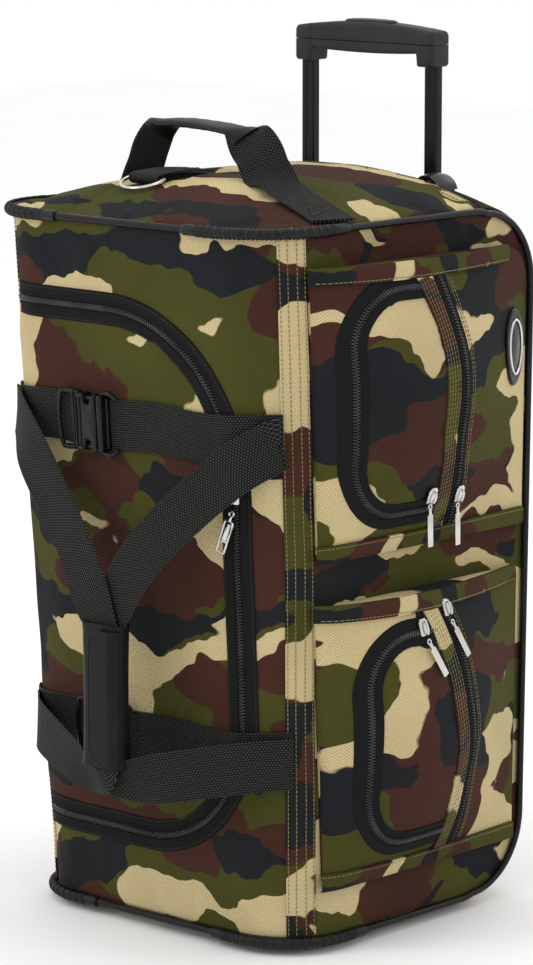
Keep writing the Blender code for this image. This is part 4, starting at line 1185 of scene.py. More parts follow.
def piping_path(off=0.0030, steps=18):
    """Round the bag along the seam between the wrapped panel and the end strip."""
    centre_y = BACK_Y - END_R

    def side_run(sign):
        flat = np.linspace(TURN_S, END_S - END_R, 14).tolist()
        run = [wrap(sign * s, SEAM_Z["top"], off) for s in flat]
        for centre_z, first in ((TOP_Z - END_R, 0), (BOTTOM_Z + END_R, 1)):
            for k in range(steps + 1):
                turn = math.pi / 2 * (first + k / steps)
                z = centre_z + END_R * math.cos(turn)
                run.append(Vector((sign * (half_width(z) + off), centre_y + END_R * math.sin(turn), z)))
        flat = np.linspace(END_S - END_R, TURN_S, 14)[1:].tolist()
        return run + [wrap(sign * s, SEAM_Z["bottom"], off) for s in flat]

    def front_run(z):
        turned = spread(FLAT_S, TURN_S, steps)[:-1]
        return [wrap(s, z, off) for s in [-s for s in reversed(turned)] + [0.0] + turned]

    path = front_run(SEAM_Z["top"]) + side_run(1)
    return path + list(reversed(front_run(SEAM_Z["bottom"]))) + list(reversed(side_run(-1)))


def trim():
    """Piping all round the body and the moulded sleeves on its front corners."""
    shape, path = Shape(), piping_path()
    even = resample([tuple(p) for p in path + path[:1]], 0.005)[:-1]
    shape.wire(even, 0.0027, 10, closed=True)
    put(shape, "piping_cord", "piping", "bag", "piping", sharp=60)
    for end, z in SEAM_Z.items():
        for side, sign in (("right", 1), ("left", -1)):
            name = f"corner_guard_{end}_{side}"
            dress(corner_sleeve(name, sign, z), "bag", "trim_rubber", name)


def corner_sleeve(name, sign, z):
    """Ribbed moulded sleeve over the piping round a front corner, with plain ends."""
    shape, radius, plain, pitch = Shape(), 0.0034, 0.012, 0.0032
    first, last = FLAT_S - 0.025, TURN_S + 0.025
    rows = []
    for s in spread(first, last, 190):
        point, normal = wrap_frame(sign * s, z)
        centre = point + normal * radius
        inside = min(s - first, last - s)
        wave = max(0.0, math.sin(2 * math.pi * (s - first) / pitch))
        reach = radius + (0.0008 * wave if inside > plain else 0.0002) + 0.0006 * eased(inside / 0.002)
        turns = [math.radians(angle) for angle in spread(-105, 105, 12)]
        ways = [math.cos(a) * normal + math.sin(a) * Vector((0, 0, 1)) for a in turns]
        inner = [centre + 0.0029 * way for way in reversed(ways)]
        rows.append([centre + reach * way for way in ways] + inner)
    shape.skin(rows, closed=True, caps=True)
    return shape.make(name + "_sleeve", MATERIALS["rubber"])


# ---------------------------------------------------------------- pockets

def pockets():
    for which in POCKETS:
        pocket_body(which)
        pocket_door(which)
        pocket_trim(which)
    badge()


def pocket_edge(which, inset=0.0):
    p = POCKETS[which]
    return rectangle((p["s"][0] + inset, p["s"][1] - inset), (p["z"][0] + inset, p["z"][1] - inset),
                     (0.006, 0.006, p["back_r"], 0.006))


def pocket_body(which):
    """The pocket's face round its door, and its gusset down to the side panel, as one lofted shell."""
    face, edge = pocket_face(which), pocket_edge(which)
    domain = rings(door_outline(which, 0.0035), edge, 20)
    points = [[face(s, z) for s, z in row] for row in domain]
    shift = PRINT["pocket_" + which]
    cloth = cloth_rows(domain, shift)
    for k in range(1, 7):
        t = k / 6
        puff = 0.0022 * math.sin(math.pi * t)
        low = [wrap(s, z, 0.0008) for s, z in edge]
        high = [face(s, z) for s, z in edge]
        row = []
        for a, b, (s, z) in zip(high, low, edge):
            lean = Vector((0, 0, 1 if z > sum(POCKETS[which]["z"]) / 2 else -1))
            row.append(a.lerp(b, t) + lean * puff * eased((a - b).length / 0.02))
        points.append(row)
        cloth.append([(s + shift[0], z + shift[1] + (a - b).length * t, 0.3)
                      for a, b, (s, z) in zip(high, low, edge)])
    shape = Shape()
    shape.skin(points, cloth, closed=True)
    item = shape.make("pocket_fabric_" + which, FABRIC, outward=True)
    dress(thicken(item, 0.0012), "bag", "camo_fabric", "pocket_" + which)


def door_blend(which):
    """Two points across the door's fold line, before and after its fold, at its middle height."""
    face, (z0, z1) = pocket_face(which), DOORS[which]["z"]
    z = (z0 + z1) / 2
    axis = (face(fold_s(which, z1), z1) - face(fold_s(which, z0), z0)).normalized()
    behind, ahead = face(fold_s(which, z) + 0.004, z), face(fold_s(which, z) - 0.004, z)
    across = (ahead - behind) - axis * (ahead - behind).dot(axis)
    return (behind + ahead - across) / 2, (behind + ahead + across) / 2


def pocket_door(which):
    """The door's fabric runs on past its fold line, under the stitched strip."""
    door, face = DOORS[which], pocket_face(which)
    low, high = door["z"][0] + DOOR_INSET, door["z"][1] - DOOR_INSET
    domain = []
    for i in range(61):
        z = crowded(i / 60, low, high)
        left, right = door_left(which, z, -DOOR_INSET), strip_s(which, z) - 0.002
        domain.append([(s, z) for s in spread(left, right, 32)])
    item = panel("pocket_door_fabric_" + which, domain, face, PRINT["door_" + which], off=0.0002)

    def free(point):
        middle_y = front_y(point.z) + CORNER_R
        s = between((point.y - middle_y) / (BACK_Y - middle_y), TURN_S, END_S)
        inside = min(s - door_left(which, point.z, 0.0), point.z - low, high - point.z)
        return eased((inside - 0.010) / 0.015)

    settle(item, 0.003, protect=free)
    thicken(item, 0.0012)
    body = "pocket_door_" + which
    bend(item, body, *door_blend(which), "camo_fabric", body)
    line = door_line(which)
    outer = zip_half(f"door_zip_outer_{which}", line, face, 1, ZIP, reach=0.86)
    dress(outer, "bag", "zip_tape")
    inner = zip_half(f"door_zip_inner_{which}", line, face, -1, ZIP, reach=0.72)
    bend(inner, body, *door_blend(which), "zip_tape")


def pocket_trim(which):
    """Strip with five rows of thread, the slim upright zip behind it, and the bound edges."""
    face, p = pocket_face(which), POCKETS[which]
    strip, half = strip_line(which), STRIP_HALF
    shape = Shape()
    profile = mirrored([(-half, 0.0004), (-half, 0.0022), (-half * 0.85, 0.0026), (0, 0.0023)])
    band(shape, strip, profile, face, offset=(0.9, 0.3 if which == "upper" else 0.62))
    put(shape, "pocket_strip_" + which, "camo", "bag", outward=True)
    sewn = Shape()
    for k in range(5):
        across = between(k / 4, -0.8 * half, 0.8 * half)
        stitches(sewn, strip, face, across=across, off=0.0024, width=0.0006)
    slim = strip_line(which, SLIM_BEHIND)
    for side, word in ((1, "rear"), (-1, "front")):
        item = zip_half(f"slim_zip_{word}_{which}", slim, face, side, ZIP, profile=SLIM_PROFILE)
        dress(item, "bag", "zip_tape")
    for behind in (0.0095, 0.0125):
        stitches(sewn, strip_line(which, SLIM_BEHIND + behind), face, off=0.0004, width=0.0006)
    bound = Shape()
    for z, turn in ((p["z"][1], -1), (p["z"][0], 1)):
        last = p["s"][1] - 0.002 - (p["back_r"] if turn < 0 else 0)
        line = resample([(p["s"][0] - 0.003, z), (last, z)], 0.005)
        edge = [(0.0030 * turn * -1, 0.0), (0.0030 * turn * -1, 0.0030), (0.0, 0.0042),
                (0.0085 * turn, 0.0036), (0.0100 * turn, 0.0028), (0.0102 * turn, 0.0)]
        band(bound, line, edge, face, offset=PRINT["binding"])
        stitches(sewn, line, face, across=0.0082 * turn, off=0.0036, width=0.0007)
    put(bound, "pocket_binding_" + which, "camo", "bag", outward=True)
    put(sewn, "pocket_stitching_" + which, "thread", "bag")


def badge():
    """Oval badge with no mark on it: a wide rubber surround, a bright rim and a dark domed middle."""
    face = pocket_face("upper")
    middle_s, middle_z, half_s, half_z = 0.3705, 0.4440, 0.0165, 0.0300

    def oval(scale, off):
        s, z = half_s * scale, half_z * scale
        return [face(middle_s + s * math.cos(a), middle_z + z * math.sin(a), off) for a in full_turn(48)]

    surround = Shape()
    steps = ((1.0, 0.0), (1.0, 0.0018), (0.95, 0.0030), (0.80, 0.0032), (0.74, 0.0024), (0.70, 0.0018))
    surround.skin([oval(*step) for step in steps], closed=True)
    put(surround, "badge_surround", "rubber", "bag", outward=True)
    rim = Shape()
    rim.wire(oval(0.70, 0.0030), 0.0011, 10, closed=True)
    put(rim, "badge_rim", "chrome", "bag")
    plate = Shape()
    steps = ((0.70, 0.0014), (0.62, 0.0026), (0.40, 0.0034), (0.02, 0.0038))
    plate.skin([oval(*step) for step in steps], closed=True)
    put(plate, "badge_plate", "plastic", "bag", outward=True)


# ---------------------------------------------------------------- pullers and sliders

def slider(shape, top, down, out, scale=1.0):
    """Zip slider: a shield-shaped body with the bridge that holds its pull tab."""
    across = down.cross(out).normalized()

    def place(x, y, z):
        return top + across * x * scale + down * y * scale + out * z * scale

    shape.block((-0.0042, -0.0100, 0.0004), (0.0042, 0.0010, 0.0030), 0.0010, place)
    shape.block((-0.0030, -0.0112, 0.0006), (0.0030, -0.0090, 0.0026), 0.0008, place)
    bridge = [(0, -0.0085, 0.0028), (0, -0.0080, 0.0050), (0, -0.0040, 0.0058), (0, -0.0005, 0.0050),
              (0, 0.0000, 0.0026)]
    shape.wire(smooth_path([place(*p) for p in bridge], 4), 0.0009 * scale, 8)


def pull_tab(shape, top, down, out, framed=False):
    """Pull tab that hangs from top: an eye, a neck and a flat or framed body."""
    length = 0.032
    across = down.cross(out).normalized()

    def place(x, y, z):
        return top + across * x + down * y + out * z

    eye = [(0.0018 * math.cos(a), 0.0010 + 0.0018 * math.sin(a), 0.0010) for a in full_turn(16)]
    shape.wire([place(*p) for p in eye], 0.0007, 8, closed=True)
    shape.block((-0.0015, 0.0024, 0.0002), (0.0015, 0.0075, 0.0018), 0.0006, place)
    if framed:
        corners = rectangle((-0.0034, 0.0034), (0.0072, length), (0.0012,) * 4, 4, 4)
        shape.wire([place(x, y, 0.0010) for x, y in corners], 0.0009, 8, closed=True)
        shape.block((-0.0034, length * 0.70, 0.0003), (0.0034, length * 0.74, 0.0017), 0.0004, place)
        shape.block((-0.0022, 0.0090, 0.0006), (0.0022, length * 0.70, 0.0014), 0.0003, place)
    else:
        shape.block((-0.0030, 0.0068, 0.0000), (0.0030, length, 0.0020), 0.0009, place, 3)
        shape.block((-0.0019, 0.0110, 0.0014), (0.0019, length - 0.0035, 0.0024), 0.0005, place)


def pullers():
    point, out = wrap_frame(ZIP_RIGHT_S, SLIDER_Z - 0.010)
    top = point + out * 0.0032
    slide = Shape()
    slider(slide, wrap(ZIP_RIGHT_S, SLIDER_Z - 0.003, 0.0010), Vector((0, 0, -1)), out, 1.2)
    put(slide, "lid_slider_body", "chrome", "lid_slider", "lid_zip_slider")
    tab = Shape()
    down = Vector((-0.35, 0, -1))
    down = (down - out * down.dot(out)).normalized()
    pull_tab(tab, top + out * 0.002, down, out, framed=True)
    put(tab, "lid_pull_tab", "chrome", "lid_puller", "lid_zip_puller")
    for which, name, s, z, lean in (
        ("upper", "door", 0.2600, DOORS["upper"]["z"][0] + 0.004, 0.0),
        ("upper", "slim", 0.2960, DOORS["upper"]["z"][0], 0.0),
        ("lower", "door", 0.2380, DOORS["lower"]["z"][1] - 0.006, 0.45),
        ("lower", "slim", 0.2700, DOORS["lower"]["z"][1] + 0.004, 0.45),
    ):
        pocket_pull(which, name, s, z, lean)


def pocket_pull(which, name, s, z, lean):
    """A pocket's pull tab hanging clear of its slope, leaning forwards by lean, and its slider."""
    depth = pocket_depth(which, s, z)
    top = wrap(s, z, depth + 0.0045)
    ahead = wrap(s + 0.02, z, pocket_depth(which, s + 0.02, z) + 0.0045)
    below = wrap(s, z - 0.03, max(depth, pocket_depth(which, s, z - 0.03)) + 0.0045)
    out = (ahead - top).cross(top - below).normalized()
    down = ((below - top).normalized() + (ahead - top).normalized() * lean).normalized()
    tab = Shape()
    pull_tab(tab, top, down, out)
    node = f"pocket_puller_{which}_{name}"
    put(tab, node + "_tab", "chrome", node, node)
    face, seat = pocket_face(which), Shape()
    along = (face(s, z - 0.004) - face(s, z + 0.006)).normalized()
    normal = (ahead - top).cross(-along).normalized()
    slider(seat, face(s, z + 0.004, 0.0008), along, normal, 1.1)
    body = "pocket_door_" + which if name == "door" else "bag"
    put(seat, f"{which}_{name}_slider", "chrome", body)


# ---------------------------------------------------------------- straps, buckles and carry handles

def strap_lie(s):
    """How far a strap stands off the fabric: it rises over the zip."""
    return 0.0018 + 0.0026 * math.exp(-((s - ZIP_RIGHT_S) / 0.012) ** 2)


def flat_strap(name, z, first, last):
    """Strap that lies round the body."""
    shape, rows, cloth = Shape(), [], []
    section = webbing_section(STRAP_W, STRAP_T)
    for s, _ in resample([(first, 0), (last, 0)], 0.004):
        sag = 0.0012 * math.sin(s * 60)
        rows.append([lid_surface(s, z + x + sag, strap_lie(s) + h) for x, h in section])
        cloth.append([(x, s, h) for x, h in section])
    shape.skin(rows, cloth, closed=True, caps=True)
    return shape.make(name, MATERIALS["webbing"])


def straps():
    """Two compression straps: a lid-side half, a pocket-side half and their buckle."""
    for level, z in STRAP_Z.items():
        left_end, right_end = (-STRAP_HINGE_S - 0.003, STRAP_HINGE_S + 0.001)
        left = flat_strap("strap_webbing_left_" + level, z, left_end, BUCKLE_LEFT_S + 0.017)
        bend(left, "lid", *hinge_points(z), "webbing", "strap_left_" + level)
        right = flat_strap("strap_webbing_right_" + level, z, BUCKLE_MID_S + 0.0045, right_end)
        dress(right, "strap_side", "webbing", "strap_right_" + level)
        sewn = Shape()
        sewn_s, edge = BUCKLE_MID_S + 0.024, 0.002
        line = [(sewn_s, z - STRAP_W / 2 + edge), (sewn_s, z + STRAP_W / 2 - edge)]

        def on_strap(s, z, off):
            return lid_surface(s, z, strap_lie(s) + STRAP_T + off)

        stitches(sewn, line, on_strap, off=-0.0002)
        put(sewn, "strap_stitching_" + level, "black_thread", "strap_side", slot="webbing")
        buckle(level, z)


def slab(shape, outline, z, heights, grow):
    """Rounded plate over an outline in (s, z offset); heights and grow give its edge's profile."""
    middle = (sum(p[0] for p in outline) / len(outline), sum(p[1] for p in outline) / len(outline))
    rows = []
    for h, g in zip(heights, grow):
        row = []
        for s, v in outline:
            away = Vector((s - middle[0], v - middle[1]))
            away = away + away.normalized() * g
            row.append(wrap(middle[0] + away.x, z + middle[1] + away.y, h))
        rows.append(row)
    shape.skin(rows, closed=True, caps=True)


def buckle(level, z):
    """Side-release buckle: frame and socket on the lid, clip with two prongs on the right-hand strap."""
    half, left, mid = BUCKLE_H / 2, BUCKLE_LEFT_S, BUCKLE_MID_S

    def place(x, y, h):
        return wrap(x, z + y, h)

    body = Shape()
    bow = [(0.014, half - 0.0015, 0.0075), (0.005, half - 0.0012, 0.0085), (0.0008, half - 0.004, 0.0088)]
    bow += [(-0.0010, 0, 0.0095)] + [(x, -y, h) for x, y, h in reversed(bow)]
    body.wire(smooth_path([place(left + x, y, h) for x, y, h in bow], 8), 0.0019, 10)
    for y in (-half + 0.0016, half - 0.0016):
        body.block((left + 0.002, y - 0.0015, 0.0045), (left + 0.020, y + 0.0015, 0.0088), 0.0010, place)
    low, high = (left + 0.0120, -half + 0.002, 0.0060), (left + 0.0150, half - 0.002, 0.0100)
    body.block(low, high, 0.0012, place, 3)
    first, notch = left + 0.0195, (left + 0.0285, left + 0.0365)
    outline = [
        (first, -half + 0.0015), (notch[0] - 0.002, -half + 0.0008), (notch[0], -half + 0.0040),
        (notch[0] + 0.0012, -half + 0.0085), (notch[1] - 0.0012, -half + 0.0085),
        (notch[1], -half + 0.0040), (notch[1] + 0.002, -half + 0.0006), (mid - 0.0005, -half + 0.0006),
    ]
    outline += [(s, -v) for s, v in reversed(outline)]
    outline = resample(outline + outline[:1], 0.0012)[:-1]
    slab(body, outline, z, (0.0020, 0.0032, 0.0108, 0.0130, 0.0138, 0.0140),
         (-0.0010, 0.0, 0.0, -0.0009, -0.0024, -0.0060))
    for s in (first + 0.0010, first + 0.0050):
        body.block((s, -half + 0.0035, 0.0125), (s + 0.0016, half - 0.0035, 0.0149), 0.0007, place)
    put(body, "buckle_body_" + level, "plastic", "lid", "buckle_socket_" + level, sharp=45)
    clip = Shape()
    low, high = (mid + 0.0004, -half + 0.0010, 0.0020), (mid + 0.0056, half - 0.0010, 0.0138)
    clip.block(low, high, 0.0020, place, 3)
    low, high = (mid + 0.0040, -half + 0.0030, 0.0035), (mid + 0.0075, half - 0.0030, 0.0085)
    clip.block(low, high, 0.0012, place, 3)
    ear = [(mid + 0.003, half - 0.0010, 0.0090), (mid + 0.008, half + 0.0004, 0.0092),
           (mid + 0.013, half - 0.0004, 0.0086), (mid + 0.016, half - 0.0036, 0.0072)]
    prong = [(mid - 0.001, 0.0140, 0.0080), (notch[1] + 0.001, 0.0160, 0.0085),
             (notch[0] + 0.004, 0.0180, 0.0085), (notch[0] - 0.001, 0.0175, 0.0085)]
    for side in (-1, 1):
        clip.wire(smooth_path([place(x, side * y, h) for x, y, h in ear], 6), 0.0019, 10)
        clip.wire(smooth_path([place(x, side * y, h) for x, y, h in prong], 6), 0.0026, 8)
    put(clip, "buckle_clip_" + level, "plastic", "strap_side", "buckle_clip_" + level, sharp=45)


def carry_route(sign, depth):
    """(point, facing) along a carry handle's webbing: upper seam, through the wrap, lower seam."""
    x, y, z = GRIP_WRAP
    half = GRIP_WRAP_SIZE[2] / 2
    sewn = STRAP_HINGE_S - 0.009 if sign > 0 else -HINGE_S - 0.009
    lie = 0.0165 if sign < 0 else 0.006

    def on_side(s, level, off):
        return wrap(sign * s, level, off), wrap_frame(sign * s, level)[1]

    front = Vector((0, -1, 0))
    return [
        on_side(sewn + 0.0085, STRAP_Z["upper"] - 0.001, 0.0060),
        on_side(sewn, STRAP_Z["upper"] - 0.004, 0.0080),
        on_side(sewn - 0.030, STRAP_Z["upper"] - 0.028, 0.013 + lie / 2),
        (Vector((x + sign * 0.040, y + 0.004, z + half + 0.060)), front + Vector((sign * 0.10, 0, 0.10))),
        (Vector((x + sign * 0.010, y + depth, z + half + 0.016)), front + Vector((0, 0, 0.12))),
        (Vector((x, y + depth, z + half - 0.010)), front),
        (Vector((x, y + depth, z)), front),
        (Vector((x, y + depth, z - half + 0.010)), front),
        (Vector((x + sign * 0.004, y + depth, z - half - 0.006)), front + Vector((0, 0, -0.10))),
        (Vector((x + sign * 0.024, y + 0.006, z - half - 0.009)), front + Vector((0, 0, -0.35))),
        (Vector((x + sign * 0.052, y + 0.012, z - half - 0.003)), front + Vector((0, 0, -0.10))),
        on_side(sewn - 0.022, STRAP_Z["lower"] - 0.005, 0.013 + lie / 2),
        on_side(sewn, STRAP_Z["lower"] - 0.003, 0.0080),
        on_side(sewn + 0.0085, STRAP_Z["lower"] - 0.003, 0.0060),
    ]


def carry_handles():
    for side, sign, depth in (("right", 1, 0.0012), ("left", -1, -0.0032)):
        route = carry_route(sign, depth)
        path = smooth_path([point for point, _ in route], 10)
        facing = smooth_path([way for _, way in route], 10)

        def width(t):
            return 0.034 + (STRAP_W - 0.034) * eased((abs(2 * t - 1) - 0.30) / 0.12)

        def out(t, facing=facing):
            return facing[round(t * (len(facing) - 1))].normalized()

        shape = Shape()
        ribbon(shape, path, out, width)
        body = "strap_side" if sign > 0 else "lid"
        put(shape, "carry_webbing_" + side, "webbing", body, "carry_loop_" + side)
    grip_wrap()


def grip_wrap():
    """Leatherette wrap: a rolled sleeve, and a stitched flap with rounded corners over its front."""
    w, d, h = (v / 2 for v in GRIP_WRAP_SIZE)
    corner, rows = 0.0075, []
    inner = rectangle((-w + 0.0025, w - 0.0025), (-d * 0.86 + 0.002, d * 0.80 - 0.002),
                      (corner - 0.002,) * 4, 6, 4)
    for k in range(31):
        t = k / 30
        z = between(t, -h, h)
        end = min(t, 1 - t) * GRIP_WRAP_SIZE[2]
        pinch = 1 - 0.05 * math.sin(math.pi * t) + 0.04 * eased(1 - end / 0.006)
        ring = rectangle((-w * pinch, w * pinch), (-d * 0.86, d * 0.80), (corner,) * 4, 6, 4)
        rows.append([GRIP_WRAP + Vector((x, y, z)) for x, y in ring])
        if k in (0, 30):
            lip = [GRIP_WRAP + Vector((x, y, z)) for x, y in inner]
            deep = [GRIP_WRAP + Vector((x, y, z - math.copysign(0.012, z))) for x, y in inner]
            rows = [deep, lip] + rows if k == 0 else rows + [lip, deep]
    shape = Shape()
    shape.skin(rows, closed=True)

    def flap_face(x, z, off):
        bow = 0.0015 * math.sin(math.pi * (z + h) / (2 * h))
        round_off = 0.0060 * max(0.0, (x - (w - 0.0070)) / 0.0070) ** 2
        return GRIP_WRAP + Vector((x, -d * 0.86 - 0.0006 - off - bow * 0.3 + round_off, z))

    edge_r = 0.014
    domain = []
    for k in range(41):
        z = crowded(k / 40, -h + 0.0015, h - 0.0040)
        rise = max(0.0, z - (h - 0.0040 - edge_r), (-h + 0.0015 + edge_r) - z)
        left = -w * 0.36 + edge_r - math.sqrt(max(0.0, edge_r ** 2 - rise ** 2))
        domain.append([(x, z) for x in spread(left, w - 0.0004, 12)])
    front = [[flap_face(x, z, 0.0030 - 0.0014 * (1 - eased(i / 1.5))) for i, (x, z) in enumerate(row)]
             for row in domain]
    back = [[flap_face(x, z, 0.0002) for x, z in row] for row in domain]
    loops = [a + b[::-1] for a, b in zip(front, back)]
    shape.skin(loops, closed=True, caps=True)
    put(shape, "grip_wrap_leather", "leather", "lid", "grip_wrap", sharp=50)
    sewn = Shape()
    hem = [(row[0][0] + 0.0028, row[0][1]) for row in domain[2:-2]]
    stitches(sewn, hem, lambda x, z, off: flap_face(x, z, 0.0030 + off), off=0.0, width=0.0006)
    put(sewn, "grip_wrap_stitching", "black_thread", "lid", slot="leatherette")
    bead = Shape()
    rim = [flap_face(row[0][0], row[0][1], 0.0016) for row in domain]
    bead.wire(rim, 0.0010, 8)
    put(bead, "grip_wrap_edge", "leather", "lid")


# ---------------------------------------------------------------- top end

def handle_facing(x):
    """Direction of the top handle's face: up at its feet and middle, turned to the side on its legs."""
    right = clamped((0.072 - x) / 0.020) * clamped((x - 0.014) / 0.022)
    left = clamped((x + 0.128) / 0.014) * clamped((-0.078 - x) / 0.018)
    return Vector((0, 0, 1 - 0.94 * (right + left))) + Vector((0.67, -0.74, 0)) * (right - left)


def top_handle():
    """Webbing loop sewn down at both ends, in two halves that meet under its sleeve."""
    right_foot = ((0.1435, -0.0895, 0.0026), (0.132, -0.086, 0.0018), (0.112, -0.081, 0.0020),
                  (0.088, -0.0745, 0.0030), (0.069, -0.0695, 0.0070))
    arch = ((0.055, -0.0655, 0.584), (0.044, -0.0625, 0.598), (0.024, -0.0570, 0.6085),
            (0.000, -0.050, 0.6110), (-0.030, -0.042, 0.6115), (-0.060, -0.035, 0.6110),
            (-0.088, -0.028, 0.6070), (-0.104, -0.024, 0.592))
    left_foot = ((-0.114, -0.021, 0.014), (-0.124, -0.0185, 0.0040), (-0.1355, -0.0145, 0.0020),
                 (-0.1420, -0.0130, 0.0015))
    path = smooth_path([top_face(*p) for p in right_foot] + [Vector(p) for p in arch]
                       + [top_face(*p) for p in left_foot], 8)
    middle = next(i for i, p in enumerate(path) if p.x < -0.030)
    feet = {"right": (path[:middle + 1], top_face(0.112, -0.081, 0.0), top_face(0.082, -0.0725, 0.0)),
            "left": (path[middle:], top_face(-0.132, -0.0165, 0.0), top_face(-0.121, -0.0195, 0.0))}
    for side, (half, start, end) in feet.items():
        def at(t, half=half):
            return half[round(t * (len(half) - 1))].x

        def width(t, at=at):
            x = at(t)
            return 0.021 + 0.0165 * eased((x - 0.006) / 0.034) + 0.0080 * eased((-0.078 - x) / 0.030)

        shape = Shape()
        ribbon(shape, half, lambda t, at=at: handle_facing(at(t)), width, 0.0024)
        item = shape.make("top_handle_webbing_" + side, MATERIALS["webbing"])
        bend(item, "top_handle", start, end, "webbing", *(["top_handle"] if side == "right" else []))
    handle_sleeve([p for p in path if -0.097 < p.x < 0.030 and p.z > 0.600])
    handle_seams()


def handle_seams():
    """Two seams across the top handle's right foot and a cross of two more between them."""
    sewn, first, last = Shape(), 0.094, 0.128

    def end(x, turn):
        return x + 0.004 * turn, -0.081 + (x - 0.112) * -0.27 - 0.014 * turn

    for start, stop in ((end(first, 1), end(first, -1)), (end(last, 1), end(last, -1)),
                        (end(first, -1), end(last, 1)), (end(first, 1), end(last, -1))):
        stitches(sewn, [start, stop], top_face, off=0.0046)
    put(sewn, "top_handle_stitching", "black_thread", "bag", slot="webbing")


def handle_sleeve(middle):
    """Slim leatherette sleeve folded round the middle of the top handle."""
    sleeve, rows = Shape(), []
    for i, point in enumerate(middle):
        along = (middle[min(i + 1, len(middle) - 1)] - middle[max(i - 1, 0)]).normalized()
        side = along.cross(handle_facing(point.x)).normalized()
        up = side.cross(along)
        crease = 1 + 0.06 * math.sin(2.3 * i) * math.sin(0.7 * i)
        ring = []
        for a in full_turn(28):
            flat = abs(math.sin(a)) ** 0.7 * math.copysign(1, math.sin(a))
            ring.append(point + up * (0.0012 + 0.0036 * crease * flat) + side * 0.0124 * math.cos(a))
        rows.append(ring)
    sleeve.skin(rows, closed=True, caps=True)
    put(sleeve, "top_handle_sleeve", "leather", "top_handle")


def d_ring():
    """Folded webbing tab, sewn down with a crossed box, and the steel ring in its fold."""
    ring_x, ring_y, tab_back = -0.040, -0.096, -0.038
    upper_ply = (0.0083, 0.0036)        # height of the tab's upper layer at the ring and at its back
    path = [top_face(ring_x, y, 0.0020) for y in spread(tab_back, ring_y, 12)]
    centre = top_face(ring_x, ring_y, 0.0053)
    for k in range(1, 8):
        a = math.pi * k / 8
        path.append(centre + Vector((0, -0.0036 * math.sin(a), -0.0030 * math.cos(a))))
    path += [top_face(ring_x, y, up) for y, up in zip(spread(ring_y, tab_back, 12), spread(*upper_ply, 12))]

    def out(t):
        turn = clamped((t - 0.42) / 0.16)
        return Vector((0, -math.sin(math.pi * turn), -math.cos(math.pi * turn)))

    tab = Shape()
    ribbon(tab, path, out, lambda t: 0.031, 0.0013)
    put(tab, "d_ring_webbing", "webbing", "bag", "d_ring_tab")
    sewn = Shape()

    def on_tab(x, y, off):
        back = clamped((y - ring_y) / (tab_back - ring_y))
        return top_face(x, y, between(back, *upper_ply) + 0.0012 + off)

    left, right, front, rear = ring_x - 0.0105, ring_x + 0.0105, -0.062, -0.049
    box = [(left, front), (right, front), (right, rear), (left, rear), (left, front)]
    for line in ([box[0], box[2]], [box[1], box[3]], box):
        stitches(sewn, line, on_tab, off=0.0)
    put(sewn, "d_ring_stitching", "black_thread", "bag", slot="webbing")
    bar, ring = 0.0175, Shape()
    loop = [(x, 0) for x in np.linspace(-bar, bar, 8).tolist()]
    loop += [(1.06 * bar * math.cos(a), 0.004 + 0.016 * math.sin(a))
             for a in (math.pi * k / 24 for k in range(25))]
    slope = math.radians(RING_DROOP)
    hang = Vector((0, -math.cos(slope), -math.sin(slope)))
    ring.wire([centre + Vector((x, reach * hang.y, reach * hang.z)) for x, reach in loop], 0.0016, 12,
              closed=True)
    put(ring, "d_ring_steel", "chrome", "d_ring", "d_ring")


# ---------------------------------------------------------------- trolley handle

def grooved_tube(name, node, x, z, size, body):
    """Post with a shallow groove down its front and its back."""
    w, d = size[0] / 2, size[1] / 2
    groove = 0.0007
    half = mirrored([(-w, -d + 0.0012), (-w + 0.0012, -d), (-w * 0.30, -d), (-w * 0.22, -d + groove)])
    section = half + [(-a, -b) for a, b in half]
    shape = Shape()
    levels = np.linspace(*z, 9).tolist()
    shape.skin([[Vector((x + a, POST_Y + b, level)) for a, b in section] for level in levels],
               closed=True, caps=True)
    put(shape, name, "tube", body, node, sharp=30)


def trolley():
    """The posts that show, their surrounds and the grip."""
    for side, sign in (("right", 1), ("left", -1)):
        for node, name, body in (("inner_tube_", "upper_post_", "handle_inner"),
                                 ("middle_tube_", "middle_post_", "handle_middle")):
            low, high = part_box(node + side)
            size = (high.x - low.x, high.y - low.y)
            grooved_tube(name + side, node + side, sign * POST_X, (low.z, high.z), size, body)
        bezel(side, sign)
    post_cover()
    grip()


def bezel(side, sign):
    """Low moulded surround where a post leaves the fabric."""
    shape = Shape()
    rows = []
    edge = ((0.0015, 0.544), (0.0040, 0.547), (0.0042, 0.5540), (0.0034, 0.5565),
            (0.0012, 0.5575), (0.0, 0.5570), (-0.0012, 0.5540), (-0.0015, 0.546))
    for grow, z in edge:
        w, d = 0.0105 + grow, 0.0080 + grow
        ring = rectangle((-w, w), (-d, d), (0.003 + max(0, grow) * 0.6,) * 4, 5, 3)
        slope = 0.42 if grow > 0.003 and z < 0.555 else 0.0
        rows.append([Vector((sign * POST_X + x, POST_Y + y, z - slope * (y + d))) for x, y in ring])
    shape.skin(rows, closed=True)
    put(shape, "post_bezel_" + side, "plastic", "bag", sharp=50)


